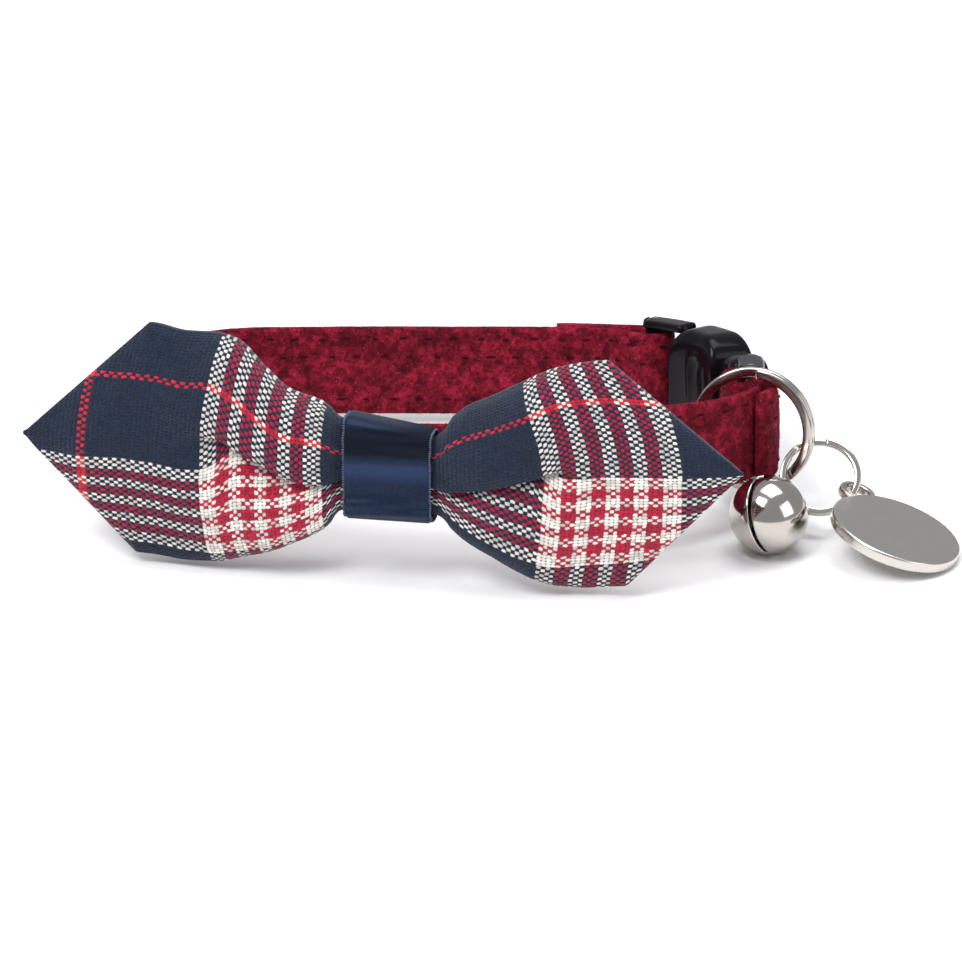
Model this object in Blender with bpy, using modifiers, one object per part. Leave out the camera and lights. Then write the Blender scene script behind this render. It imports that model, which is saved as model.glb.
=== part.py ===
"""Cat collar: velvet strap, curved side-release buckle, bow tie, split rings, bell and tag.

All lengths are in metres and +Z is up. The strap loop is modelled flat, with its bottom edge
on its own plane, and is then tilted about the bottom edge of its back stretch until the bow
tie at the front touches the ground. The rings, the bell and the tag lie where they reach.
"""

import math

import bmesh
import bpy
import numpy as np
from mathutils import Matrix, Vector

# Fits shared by all pieces
CLEARANCE = 0.0003

# Strap
STRAP_WIDTH = 0.0100
STRAP_THICKNESS = 0.0015
STRAP_EDGE_ROUND = 0.00035
FOLD_LENGTH = 0.0110
FOLD_SPREAD = 0.0050
LOOP_WIDTH = 0.0700
LOOP_DEPTH = 0.0400
STRAP_STATION = 0.0024
ROUTE_DIVISIONS = 12
BAR_TURN_STEPS = 6

# Buckle
BUCKLE_SPAN = 0.0232
BUCKLE_RADIUS = 0.0192
BUCKLE_TURN_IN = math.radians(20.0)
BAR_THICKNESS = 0.0016
RAIL_THICKNESS = 0.0010
RAIL_DEPTH = 0.0030
SLOT_LENGTH = 0.0027
HOUSING_LENGTH = 0.0096
HOUSING_DEPTH = 0.0056
HOUSING_WALL = 0.0011
BASE_DEPTH = 0.0050
PRONG_WIDTH = 0.0014
PRONG_DEPTH = 0.0024
PRONG_LENGTH = 0.0072
BARB_REACH = 0.0009
BARB_LENGTH = 0.0024
BUCKLE_BEVEL = 0.0004
BEND_STATION = 0.0016

# Bow tie. PUFF_POWER shapes how fast the cloth rises from its edges.
WING_LEFT = 0.0411
WING_RIGHT = 0.0389
BOW_HALF_HEIGHT = 0.0130
BOW_PUFF = 0.0040
BOW_BACK_PUFF = 0.0016
FOLD_LAP = 0.0034
CLOTH_EDGE = 0.0009
WAIST_HALF = 0.0046
BOW_RISE = 0.0011
BOW_YAW = math.radians(-10.3)
BOW_STATION = 0.0019
PUFF_POWER = 0.6
FULL_PUFF_SHARE = 0.9
FOLD_LOWEST = 0.35
FOLD_BELOW_TOP = 0.3
LAP_MOST = 0.8
CREASE_GAIN = 1.6
REAR_POINTS = 7

# Satin band round the waist. The two powers square its section, upright and from front to back.
BAND_WIDTH = 0.0095
BAND_THICKNESS = 0.0006
BAND_STEPS_AROUND = 28
BAND_STEPS_ACROSS = 5
BAND_UPRIGHT_POWER = 0.42
BAND_DEPTH_POWER = 0.55

# Rings. The split ring stands round the strap, turned and leaning; the small ring hangs from
# the point at SPLIT_RING_LINK round it and falls in the direction given by two angles. Each is
# wound COIL_TURNS times and steps over between COIL_STEP_START and COIL_STEP_END turns.
SPLIT_RING_OUTER = 0.0070
SPLIT_RING_BAND = 0.0010
SPLIT_RING_WIRE = 0.0006
SPLIT_RING_YAW = math.radians(-18.0)
SPLIT_RING_LEAN = math.radians(8.0)
SPLIT_RING_SHIFT = -0.0005
SPLIT_RING_LINK = math.radians(29.9)
SMALL_RING_OUTER = 0.0045
SMALL_RING_BAND = 0.0005
SMALL_RING_WIRE = 0.0003
SMALL_RING_HANG = 0.00154
SMALL_RING_AZIMUTH = math.radians(-28.7)
SMALL_RING_FALL = math.radians(-25.7)
SMALL_RING_ROLL = math.radians(40.0)
COIL_GAP = 0.0001
COIL_STEPS = 18
COIL_TURNS = 1.83
COIL_STEP_START = 0.84
COIL_STEP_END = 0.98
COIL_ROUND = 0.28
COIL_END_SHARE = 0.55
COIL_END_TAPER = 6.0

# Bell
BELL_RADIUS = 0.0044
BELL_WALL = 0.0004
BELL_SLOT = 0.0007
BELL_SLOT_END = 0.0011
SHANK_RADIUS = 0.0013
SHANK_WIRE = 0.0003
SHANK_SLACK = 0.00055
SHANK_SEGMENTS = 14
SHANK_SIDES = 6
BELL_AT = math.radians(262.6)
BELL_AZIMUTH = math.radians(-118.8)
BELL_RISE = math.radians(7.6)
BELL_SLOT_LEAN = math.radians(12.0)
BELL_STEPS = 20
PEA_RADIUS = 0.0017
PEA_STEPS = 12

# Tag
TAG_RADIUS = 0.0074
TAG_THICKNESS = 0.0013
TAG_RIM = 0.0006
TAG_STEPS = 32
EAR_RADIUS = 0.0021
EAR_HOLE = 0.0013
EAR_THICKNESS = 0.0010
EAR_SLACK = 0.00035
TAG_AT = math.radians(12.5)
TAG_EAR_TURN = math.radians(120.0)
TAG_LEAN = (0.325, -0.05)
EAR_STEPS = 16

# Rounds of the search for the angle at which the loop rests
REST_ROUNDS = 60

# Strap route seen from above, from the male bar round the front to the female bar.
# across: share of LOOP_WIDTH from the bow's centre, + to the right.
# back: share of LOOP_DEPTH from the front stretch. lift: share of STRAP_WIDTH.
ROUTE_COLUMNS = ("across", "back", "lift")
ROUTE_ROWS = (
    (0.578, 0.330, 0.00),
    (0.528, 0.185, 0.00),
    (0.425, 0.085, 0.00),
    (0.260, 0.005, -0.03),
    (0.090, -0.010, -0.10),
    (-0.085, 0.030, -0.10),
    (-0.250, 0.085, 0.00),
    (-0.360, 0.220, 0.00),
    (-0.405, 0.450, 0.00),
    (-0.375, 0.760, 0.00),
    (-0.280, 0.960, 0.00),
    (-0.100, 1.000, 0.00),
    (0.100, 1.000, 0.00),
    (0.290, 0.995, 0.00),
    (0.418, 0.965, 0.00),
)

# Wing sections, from the waist outwards.
# along: share of the wing's length. top, bottom, fold: shares of BOW_HALF_HEIGHT.
# lap: share of FOLD_LAP that the upper flap hangs over. upper, lower, rear: shares of the puffs.
WING_COLUMNS = ("along", "top", "bottom", "fold", "lap", "upper", "lower", "rear")
LEFT_ROWS = (
    (0.000, 0.38, -0.36, -0.10, 0.60, 0.46, 0.30, 0.90),
    (0.112, 0.39, -0.37, -0.10, 0.95, 0.54, 0.36, 0.95),
    (0.190, 0.55, -0.58, -0.13, 1.00, 0.84, 0.60, 1.00),
    (0.274, 0.64, -0.73, -0.08, 1.00, 1.00, 0.78, 1.00),
    (0.340, 0.82, -0.83, 0.03, 0.85, 1.00, 0.82, 0.95),
    (0.414, 1.05, -0.90, 0.17, 0.62, 0.96, 0.80, 0.90),
    (0.476, 1.10, -0.94, 0.32, 0.34, 0.88, 0.76, 0.85),
    (0.545, 1.10, -0.94, 0.50, 0.06, 0.76, 0.68, 0.80),
    (0.650, 1.16, -0.90, 0.40, 0.00, 0.60, 0.58, 0.70),
    (0.820, 1.16, -0.86, 0.22, 0.00, 0.42, 0.42, 0.55),
    (1.000, 1.16, -0.82, 0.16, 0.00, 0.22, 0.22, 0.40),
)
RIGHT_ROWS = (
    (0.000, 0.38, -0.36, -0.10, 0.60, 0.46, 0.30, 0.90),
    (0.118, 0.37, -0.40, -0.16, 0.90, 0.52, 0.36, 0.95),
    (0.222, 0.57, -0.62, -0.13, 1.00, 0.82, 0.60, 1.00),
    (0.282, 0.66, -0.72, -0.09, 0.95, 0.95, 0.74, 1.00),
    (0.370, 0.81, -0.86, -0.03, 0.78, 1.00, 0.82, 0.95),
    (0.466, 0.97, -0.95, 0.05, 0.42, 0.90, 0.80, 0.90),
    (0.542, 1.04, -0.96, 0.13, 0.10, 0.78, 0.72, 0.85),
    (0.617, 1.07, -0.94, 0.16, 0.00, 0.66, 0.62, 0.75),
    (0.800, 1.07, -0.90, 0.12, 0.00, 0.44, 0.42, 0.55),
    (1.000, 1.07, -0.86, 0.08, 0.00, 0.22, 0.22, 0.40),
)
# The two straight edges of each point: along where each starts, and its height there,
# then the tip's height, as shares of the wing's length and of BOW_HALF_HEIGHT.
LEFT_POINT = {"top_at": 0.655, "top": 1.16, "bottom_at": 0.695, "bottom": -0.88, "tip": 0.16}
RIGHT_POINT = {"top_at": 0.617, "top": 1.07, "bottom_at": 0.675, "bottom": -0.92, "tip": 0.08}

# Front of a wing section, from its top edge down to its bottom edge. flat: share of the way
# down when there is no fold. The folded point is (base height, share of the lap above it,
# share towards the section's end, share of the upper puff, share of the lower puff).
FRONT_COLUMNS = ("flat", "anchor", "toward_end", "lap", "upper", "lower")
FRONT_ROWS = (
    (0.000, "top", 0.00, 0.0, 0.00, 0.00),
    (0.040, "top", 0.07, 0.0, 0.46, 0.00),
    (0.130, "top", 0.28, 0.0, 0.86, 0.00),
    (0.260, "top", 0.60, 0.0, 1.00, 0.00),
    (0.370, "fold", 0.18, 0.0, 1.00, 0.00),
    (0.430, "fold", 0.02, 0.0, 0.90, 0.00),
    (0.460, "fold", 0.00, 0.1, 0.70, 0.00),
    (0.480, "fold", 0.00, 0.6, 0.56, 0.00),
    (0.500, "fold", 0.00, 1.0, 0.42, 0.00),
    (0.520, "fold", 0.00, 0.9, 0.24, 0.06),
    (0.550, "fold", 0.00, 0.3, 0.04, 0.50),
    (0.620, "bottom", 0.80, 0.0, 0.00, 0.92),
    (0.740, "bottom", 0.50, 0.0, 0.00, 1.00),
    (0.870, "bottom", 0.22, 0.0, 0.00, 0.84),
    (0.960, "bottom", 0.06, 0.0, 0.00, 0.44),
    (1.000, "bottom", 0.00, 0.0, 0.00, 0.00),
)


def clear_scene():
    """Remove whatever objects the file starts with."""
    for item in list(bpy.data.objects):
        bpy.data.objects.remove(item, do_unlink=True)


def new_collection(name):
    """Make a collection under the scene's own."""
    made = bpy.data.collections.new(name)
    bpy.context.scene.collection.children.link(made)
    return made


def new_material(name, colour, roughness, metallic=0.0):
    """A Principled material with the sub-part's colour."""
    material = bpy.data.materials.new(name)
    material.use_nodes = True
    shader = material.node_tree.nodes["Principled BSDF"]
    shader.inputs["Base Color"].default_value = (*colour, 1.0)
    shader.inputs["Roughness"].default_value = roughness
    shader.inputs["Metallic"].default_value = metallic
    material.diffuse_color = (*colour, 1.0)
    return material


def add_object(name, mesh, collection, parent=None, material=None):
    """Wrap a mesh in an object of the given collection."""
    made = bpy.data.objects.new(name, mesh)
    collection.objects.link(made)
    made.parent = parent
    if material is not None:
        mesh.materials.clear()
        mesh.materials.append(material)
    return made


def shade(mesh, degrees=40.0):
    """Smooth shading with edges kept sharp above an angle."""
    mesh.shade_smooth()
    mesh.set_sharp_from_angle(angle=math.radians(degrees))


def oriented_mesh(name, verts, faces):
    """A mesh from points and faces, with its faces turned outwards."""
    mesh = bpy.data.meshes.new(name)
    mesh.from_pydata(verts, [], faces)
    work = bmesh.new()
    work.from_mesh(mesh)
    bmesh.ops.recalc_face_normals(work, faces=work.faces)
    work.to_mesh(mesh)
    work.free()
    return mesh


def loft_mesh(name, rings):
    """A closed skin through equal rings of points, capped at both ends."""
    count = len(rings)
    size = len(rings[0])
    verts = [tuple(point) for ring in rings for point in ring]
    faces = []
    for row in range(count - 1):
        here = row * size
        there = here + size
        for column in range(size):
            after = (column + 1) % size
            faces.append((here + column, here + after, there + after, there + column))
    faces.append(tuple(reversed(range(size))))
    faces.append(tuple(range((count - 1) * size, count * size)))
    return oriented_mesh(name, verts, faces)


def spline_points(points, per_span):
    """Centripetal Catmull-Rom curve through the points, as an array."""
    given = np.asarray(points, dtype=float)
    padded = np.vstack((2 * given[0] - given[1], given, 2 * given[-1] - given[-2]))
    knots = np.concatenate(([0.0], np.cumsum(np.sqrt(np.linalg.norm(np.diff(padded, axis=0), axis=1)))))
    pieces = []
    for index in range(1, len(padded) - 2):
        p0, p1, p2, p3 = padded[index - 1:index + 3]
        t0, t1, t2, t3 = knots[index - 1:index + 3]
        t = np.linspace(t1, t2, per_span, endpoint=False)[:, None]
        a1 = (t1 - t) / (t1 - t0) * p0 + (t - t0) / (t1 - t0) * p1
        a2 = (t2 - t) / (t2 - t1) * p1 + (t - t1) / (t2 - t1) * p2
        a3 = (t3 - t) / (t3 - t2) * p2 + (t - t2) / (t3 - t2) * p3
        b1 = (t2 - t) / (t2 - t0) * a1 + (t - t0) / (t2 - t0) * a2
        b2 = (t3 - t) / (t3 - t1) * a2 + (t - t1) / (t3 - t1) * a3
        pieces.append((t2 - t) / (t2 - t1) * b1 + (t - t1) / (t2 - t1) * b2)
    pieces.append(given[-1:])
    return np.vstack(pieces)


def resample(points, spacing):
    """Points at an even spacing along a polyline."""
    lengths = np.concatenate(([0.0], np.cumsum(np.linalg.norm(np.diff(points, axis=0), axis=1))))
    count = max(2, int(round(lengths[-1] / spacing)) + 1)
    wanted = np.linspace(0.0, lengths[-1], count)
    return np.column_stack([np.interp(wanted, lengths, column) for column in points.T])


def plan_normals(points):
    """Unit normals in plan, to the right of the direction of travel."""
    ahead = np.gradient(points[:, :2], axis=0)
    ahead /= np.linalg.norm(ahead, axis=1)[:, None]
    return np.column_stack((ahead[:, 1], -ahead[:, 0]))


class Arc:
    """The buckle's centre line in plan: an arc from the female bar to the male bar."""

    def __init__(self, start, heading):
        self.start = np.asarray(start, dtype=float)
        self.heading = heading
        side = np.array([-math.sin(heading), math.cos(heading)])
        self.centre = self.start - side * BUCKLE_RADIUS

    def at(self, along, outward):
        """Plan point at a length along the arc and a distance outward from it."""
        turned = self.heading - along / BUCKLE_RADIUS
        side = np.array([-math.sin(turned), math.cos(turned)])
        return self.centre + side * (BUCKLE_RADIUS + outward)


def route_points():
    """The strap's route without its folds, and the buckle's arc, in the loop's plane."""
    rows = np.array(ROUTE_ROWS)
    sizes = {"across": LOOP_WIDTH, "back": LOOP_DEPTH, "lift": STRAP_WIDTH}
    table = rows * np.array([sizes[name] for name in ROUTE_COLUMNS])
    rear = table[-2:]
    heading = math.atan2(rear[1, 1] - rear[0, 1], rear[1, 0] - rear[0, 0]) - BUCKLE_TURN_IN
    arc = Arc(table[-1, :2], heading)
    male_bar = arc.at(BUCKLE_SPAN, 0.0)
    leave = arc.at(BUCKLE_SPAN + FOLD_SPREAD, 0.0)
    first = np.array([[male_bar[0], male_bar[1], 0.0], [leave[0], leave[1], 0.0]])
    return resample(spline_points(np.vstack((first, table)), ROUTE_DIVISIONS), STRAP_STATION), arc


def bar_turn(centre, start_side, ahead, radius):
    """Half a turn round a buckle bar, from one side of the strap to the other."""
    angles = np.linspace(0.0, math.pi, BAR_TURN_STEPS + 1)
    return np.array([centre + radius * (start_side * math.cos(a) + ahead * math.sin(a)) for a in angles])


def strap_line():
    """The strap's whole centre line: fold, male bar, loop, female bar, fold."""
    route, arc = route_points()
    inward = plan_normals(route)
    lengths = np.concatenate(([0.0], np.cumsum(np.linalg.norm(np.diff(route, axis=0), axis=1))))
    total = lengths[-1]
    turn = BAR_THICKNESS / math.sqrt(2) + CLEARANCE / 2 + STRAP_THICKNESS / 2
    near = np.minimum(lengths, total - lengths)
    fade = np.clip(1.0 - near / FOLD_SPREAD, 0.0, 1.0)
    fade = fade * fade * (3.0 - 2.0 * fade)
    main = route.copy()
    main[:, :2] += inward * (turn * fade)[:, None]
    layer = STRAP_THICKNESS + CLEARANCE
    back = route.copy()
    back[:, :2] -= inward * (turn * fade + layer * (1.0 - fade))[:, None]
    head = near <= FOLD_LENGTH
    at_start = head & (lengths < total / 2)
    at_end = head & (lengths > total / 2)
    away = (route[0, :2] - route[1, :2]) / np.linalg.norm(route[1, :2] - route[0, :2])
    ahead = (route[-1, :2] - route[-2, :2]) / np.linalg.norm(route[-1, :2] - route[-2, :2])
    start_turn = bar_turn(route[0, :2], -inward[0], away, turn)
    end_turn = bar_turn(route[-1, :2], inward[-1], ahead, turn)
    pieces = (
        back[at_start][::-1],
        np.column_stack((start_turn[1:-1], np.zeros(len(start_turn) - 2))),
        main,
        np.column_stack((end_turn[1:-1], np.zeros(len(end_turn) - 2))),
        back[at_end][::-1],
    )
    return np.vstack(pieces), route, arc


def strap_mesh(line):
    """The strap: a flat section with rounded edges carried along its centre line."""
    normals = plan_normals(line)
    half = STRAP_THICKNESS / 2
    soft = STRAP_EDGE_ROUND
    section = (
        (-half + soft, 0.0), (half - soft, 0.0), (half, soft), (half, STRAP_WIDTH - soft),
        (half - soft, STRAP_WIDTH), (-half + soft, STRAP_WIDTH), (-half, STRAP_WIDTH - soft), (-half, soft),
    )
    rings = []
    for point, side in zip(line, normals):
        ring = [(point[0] + side[0] * n, point[1] + side[1] * n, point[2] + z) for n, z in section]
        rings.append(ring)
    return loft_mesh("strap", rings)


def table_curve(rows, columns, name, where):
    """A column of a table, read at any share of the length with a smooth monotone curve."""
    data = np.array(rows)
    x = data[:, columns.index("along")]
    y = data[:, columns.index(name)]
    step = np.diff(x)
    slope = np.diff(y) / step
    tangent = np.zeros(len(x))
    same = slope[:-1] * slope[1:] > 0
    inner = np.zeros(len(x) - 2)
    inner[same] = 2 * slope[:-1][same] * slope[1:][same] / (slope[:-1][same] + slope[1:][same])
    tangent[1:-1] = inner
    index = np.clip(np.searchsorted(x, where, side="right") - 1, 0, len(step) - 1)
    h = step[index]
    t = np.clip((where - x[index]) / h, 0.0, 1.0)
    return (
        (2 * t**3 - 3 * t**2 + 1) * y[index]
        + (t**3 - 2 * t**2 + t) * h * tangent[index]
        + (-2 * t**3 + 3 * t**2) * y[index + 1]
        + (t**3 - t**2) * h * tangent[index + 1]
    )


def wing_section(share, rows, point):
    """Named heights and depths of a wing's section at a share of its length."""
    where = np.array([share])
    values = {name: float(table_curve(rows, WING_COLUMNS, name, where)[0]) for name in WING_COLUMNS[1:]}
    tip = point["tip"]
    top_line = tip + (point["top"] - tip) * (1.0 - share) / (1.0 - point["top_at"])
    bottom_line = tip + (point["bottom"] - tip) * (1.0 - share) / (1.0 - point["bottom_at"])
    top = min(values["top"], top_line) * BOW_HALF_HEIGHT
    bottom = max(values["bottom"], bottom_line) * BOW_HALF_HEIGHT
    if top - bottom < CLOTH_EDGE:
        middle = (top + bottom) / 2
        top = middle + CLOTH_EDGE / 2
        bottom = middle - CLOTH_EDGE / 2
    whole = top - bottom
    fold = max(values["fold"] * BOW_HALF_HEIGHT, bottom + FOLD_LOWEST * whole)
    fold = min(fold, top - FOLD_BELOW_TOP * whole)
    room = min(1.0, whole / (FULL_PUFF_SHARE * BOW_HALF_HEIGHT))
    return {
        "top": top,
        "bottom": bottom,
        "fold": fold,
        "lap": min(values["lap"] * FOLD_LAP, LAP_MOST * (top - fold)),
        "crease": min(1.0, values["lap"] * CREASE_GAIN),
        "upper": values["upper"] * BOW_PUFF * room,
        "lower": values["lower"] * BOW_PUFF * room,
        "rear": values["rear"] * BOW_BACK_PUFF * room,
    }


def wing_ring(part):
    """Closed ring of (height, depth) pairs round a wing's section, depth + to the front."""
    high = part["top"] - part["fold"]
    low = part["fold"] - part["bottom"]
    anchors = {
        "top": (part["top"], -high),
        "fold": (part["fold"], high),
        "bottom": (part["bottom"], low),
    }
    whole = part["top"] - part["bottom"]
    edge = CLOTH_EDGE / 2
    crease = part["crease"]
    ring = []
    for row in FRONT_ROWS:
        point = dict(zip(FRONT_COLUMNS, row))
        flat = point["flat"]
        base, reach = anchors[point["anchor"]]
        folded_t = base + point["toward_end"] * reach + point["lap"] * part["lap"]
        folded_n = point["upper"] * part["upper"] + point["lower"] * part["lower"]
        smooth = max(0.0, math.sin(math.pi * flat)) ** PUFF_POWER
        plain_t = part["top"] - flat * whole
        plain_n = smooth * (part["upper"] * (1.0 - flat) + part["lower"] * flat)
        t = plain_t + (folded_t - plain_t) * crease
        n = plain_n + (folded_n - plain_n) * crease
        ring.append((t, n + edge))
    for step in range(REAR_POINTS):
        share = step / (REAR_POINTS - 1)
        bulge = part["rear"] * max(0.0, math.sin(math.pi * share)) ** PUFF_POWER
        ring.append((part["bottom"] + share * whole, -bulge - edge))
    return ring


def wing_stations(length, point):
    """Shares of a wing's length for its sections, with its two corners among them."""
    count = int(round(length / BOW_STATION))
    shares = set(np.round(np.linspace(0.0, 1.0, count + 1), 4))
    shares |= {point["top_at"], point["bottom_at"], WAIST_HALF / length}
    ordered = sorted(shares)
    kept = [ordered[0]]
    for share in ordered[1:]:
        if share - kept[-1] > 0.3 * BOW_STATION / length or share in (point["top_at"], point["bottom_at"]):
            kept.append(share)
    return kept


def bow_mesh():
    """Both wings and the waist, lofted from the left tip to the right tip."""
    rings = []
    for share in reversed(wing_stations(WING_LEFT, LEFT_POINT)[1:]):
        ring = wing_ring(wing_section(share, LEFT_ROWS, LEFT_POINT))
        rings.append([(-share * WING_LEFT, -n, t) for t, n in ring])
    for share in wing_stations(WING_RIGHT, RIGHT_POINT):
        ring = wing_ring(wing_section(share, RIGHT_ROWS, RIGHT_POINT))
        rings.append([(share * WING_RIGHT, -n, t) for t, n in ring])
    return loft_mesh("bow_tie", rings)


def waist_box():
    """Lowest and highest height and depth of the bow within the band's width."""
    heights = []
    depths = []
    for length, rows, point in ((WING_LEFT, LEFT_ROWS, LEFT_POINT), (WING_RIGHT, RIGHT_ROWS, RIGHT_POINT)):
        for reach in np.linspace(0.0, BAND_WIDTH / 2 + CLEARANCE, BAND_STEPS_ACROSS):
            ring = wing_ring(wing_section(reach / length, rows, point))
            heights += [t for t, n in ring]
            depths += [n for t, n in ring]
    return min(heights), max(heights), min(depths), max(depths)


def band_mesh():
    """The satin band: a rounded flat tube round the waist, given its wall by Solidify."""
    low, high, rear, front = waist_box()
    centre = ((low + high) / 2, (rear + front) / 2)
    half = ((high - low) / 2 + CLEARANCE, (front - rear) / 2 + CLEARANCE)
    verts = []
    faces = []
    around = BAND_STEPS_AROUND
    for share in np.linspace(-0.5, 0.5, BAND_STEPS_ACROSS):
        for step in range(around):
            angle = 2 * math.pi * step / around
            c = math.cos(angle)
            s = math.sin(angle)
            t = centre[0] + half[0] * math.copysign(abs(s) ** BAND_UPRIGHT_POWER, s)
            n = centre[1] + half[1] * math.copysign(abs(c) ** BAND_DEPTH_POWER, c)
            verts.append((share * BAND_WIDTH, -n, t))
    for row in range(BAND_STEPS_ACROSS - 1):
        for step in range(around):
            after = (step + 1) % around
            a = row * around
            b = (row + 1) * around
            faces.append((a + step, a + after, b + after, b + step))
    return oriented_mesh("bow_band", verts, faces)


def block(name, low, high, collection):
    """A box between two corners, as an object for Boolean work."""
    work = bmesh.new()
    bmesh.ops.create_cube(work, size=1.0)
    size = [high[i] - low[i] for i in range(3)]
    middle = [(high[i] + low[i]) / 2 for i in range(3)]
    bmesh.ops.scale(work, vec=size, verts=work.verts)
    bmesh.ops.translate(work, vec=middle, verts=work.verts)
    mesh = bpy.data.meshes.new(name)
    work.to_mesh(mesh)
    work.free()
    return add_object(name, mesh, collection)


def rod_mesh(name, radius, length, steps, frame):
    """A closed round rod about the z axis of a frame."""
    work = bmesh.new()
    bmesh.ops.create_cone(work, cap_ends=True, segments=steps, radius1=radius, radius2=radius, depth=length)
    bmesh.ops.transform(work, matrix=frame, verts=work.verts)
    mesh = bpy.data.meshes.new(name)
    work.to_mesh(mesh)
    work.free()
    return mesh


def mark_cutter(cutter):
    """Keep a cutter out of the model."""
    cutter.hide_render = True
    cutter.display_type = "WIRE"


def boolean(target, tool, operation):
    """Add an exact Boolean modifier."""
    mark_cutter(tool)
    modifier = target.modifiers.new(operation.lower(), "BOOLEAN")
    modifier.object = tool
    modifier.operation = operation
    modifier.solver = "EXACT"


def bevel(target, width):
    """Round a blocky object's edges with one segment."""
    modifier = target.modifiers.new("bevel", "BEVEL")
    modifier.width = width
    modifier.segments = 1
    modifier.limit_method = "ANGLE"
    modifier.angle_limit = math.radians(40.0)


def frozen_mesh(source):
    """The evaluated mesh of an object, as a mesh of its own."""
    graph = bpy.context.evaluated_depsgraph_get()
    graph.update()
    return bpy.data.meshes.new_from_object(source.evaluated_get(graph), depsgraph=graph)


def bend_mesh(mesh, arc):
    """Cut a straight mesh across at even lengths and carry it onto the buckle's arc."""
    work = bmesh.new()
    work.from_mesh(mesh)
    lows = min(v.co.x for v in work.verts)
    highs = max(v.co.x for v in work.verts)
    count = int((highs - lows) / BEND_STATION)
    for step in range(1, count + 1):
        geometry = work.verts[:] + work.edges[:] + work.faces[:]
        place = (lows + step * (highs - lows) / (count + 1), 0.0, 0.0)
        bmesh.ops.bisect_plane(work, geom=geometry, dist=1e-7, plane_co=place, plane_no=(1.0, 0.0, 0.0))
    for vert in work.verts:
        x, y = arc.at(vert.co.x, vert.co.y)
        vert.co = (x, y, vert.co.z)
    bmesh.ops.remove_doubles(work, verts=work.verts, dist=1e-6)
    bmesh.ops.triangulate(work, faces=work.faces)
    work.to_mesh(mesh)
    work.free()
    return mesh


def buckle_levels():
    """Heights shared by both buckle halves, from the strap's bottom edge."""
    low = -CLEARANCE - RAIL_THICKNESS
    high = STRAP_WIDTH + CLEARANCE + RAIL_THICKNESS
    return low, high


def frame_end(name, bar_at, toward, body, cutters):
    """The strap end of a buckle half: two rails and a bar, joined to the body."""
    low, high = buckle_levels()
    bar = BAR_THICKNESS / 2
    far = bar_at + toward * (bar + SLOT_LENGTH + 2 * CLEARANCE)
    near = bar_at - toward * bar
    ends = sorted((near, far))
    depth = RAIL_DEPTH / 2
    for label, bottom, top in (("low", low, low + RAIL_THICKNESS), ("high", high - RAIL_THICKNESS, high)):
        rail = block(f"{name}_rail_{label}", (ends[0], -depth, bottom), (ends[1], depth, top), cutters)
        boolean(body, rail, "UNION")
    bar_block = block(f"{name}_bar", (bar_at - bar, -bar, low), (bar_at + bar, bar, high), cutters)
    boolean(body, bar_block, "UNION")
    return far


def female_buckle(arc, collection, cutters, parent, material):
    """The housing: a hollow box with an open mouth, two latch windows and a strap bar."""
    low, high = buckle_levels()
    start = BAR_THICKNESS / 2 + SLOT_LENGTH + CLEARANCE
    end = start + HOUSING_LENGTH
    half = HOUSING_DEPTH / 2
    body = block("female_body", (start, -half, low), (end, half, high), cutters)
    bevel(body, BUCKLE_BEVEL)
    inner = half - HOUSING_WALL
    hollow = block(
        "female_hollow",
        (start + HOUSING_WALL, -inner, low + HOUSING_WALL),
        (end + HOUSING_WALL, inner, high - HOUSING_WALL),
        cutters,
    )
    boolean(body, hollow, "DIFFERENCE")
    middle = (start + end) / 2
    window = block(
        "female_windows",
        (middle - BARB_LENGTH / 2 - 2 * CLEARANCE, -PRONG_DEPTH / 2 - CLEARANCE, low - HOUSING_WALL),
        (middle + BARB_LENGTH / 2 + 2 * CLEARANCE, PRONG_DEPTH / 2 + CLEARANCE, high + HOUSING_WALL),
        cutters,
    )
    boolean(body, window, "DIFFERENCE")
    frame_end("female", 0.0, 1.0, body, cutters)
    mesh = bend_mesh(frozen_mesh(body), arc)
    mesh.name = "buckle_female"
    mark_cutter(body)
    shade(mesh)
    return add_object("buckle_female", mesh, collection, parent, material), end, middle


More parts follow.
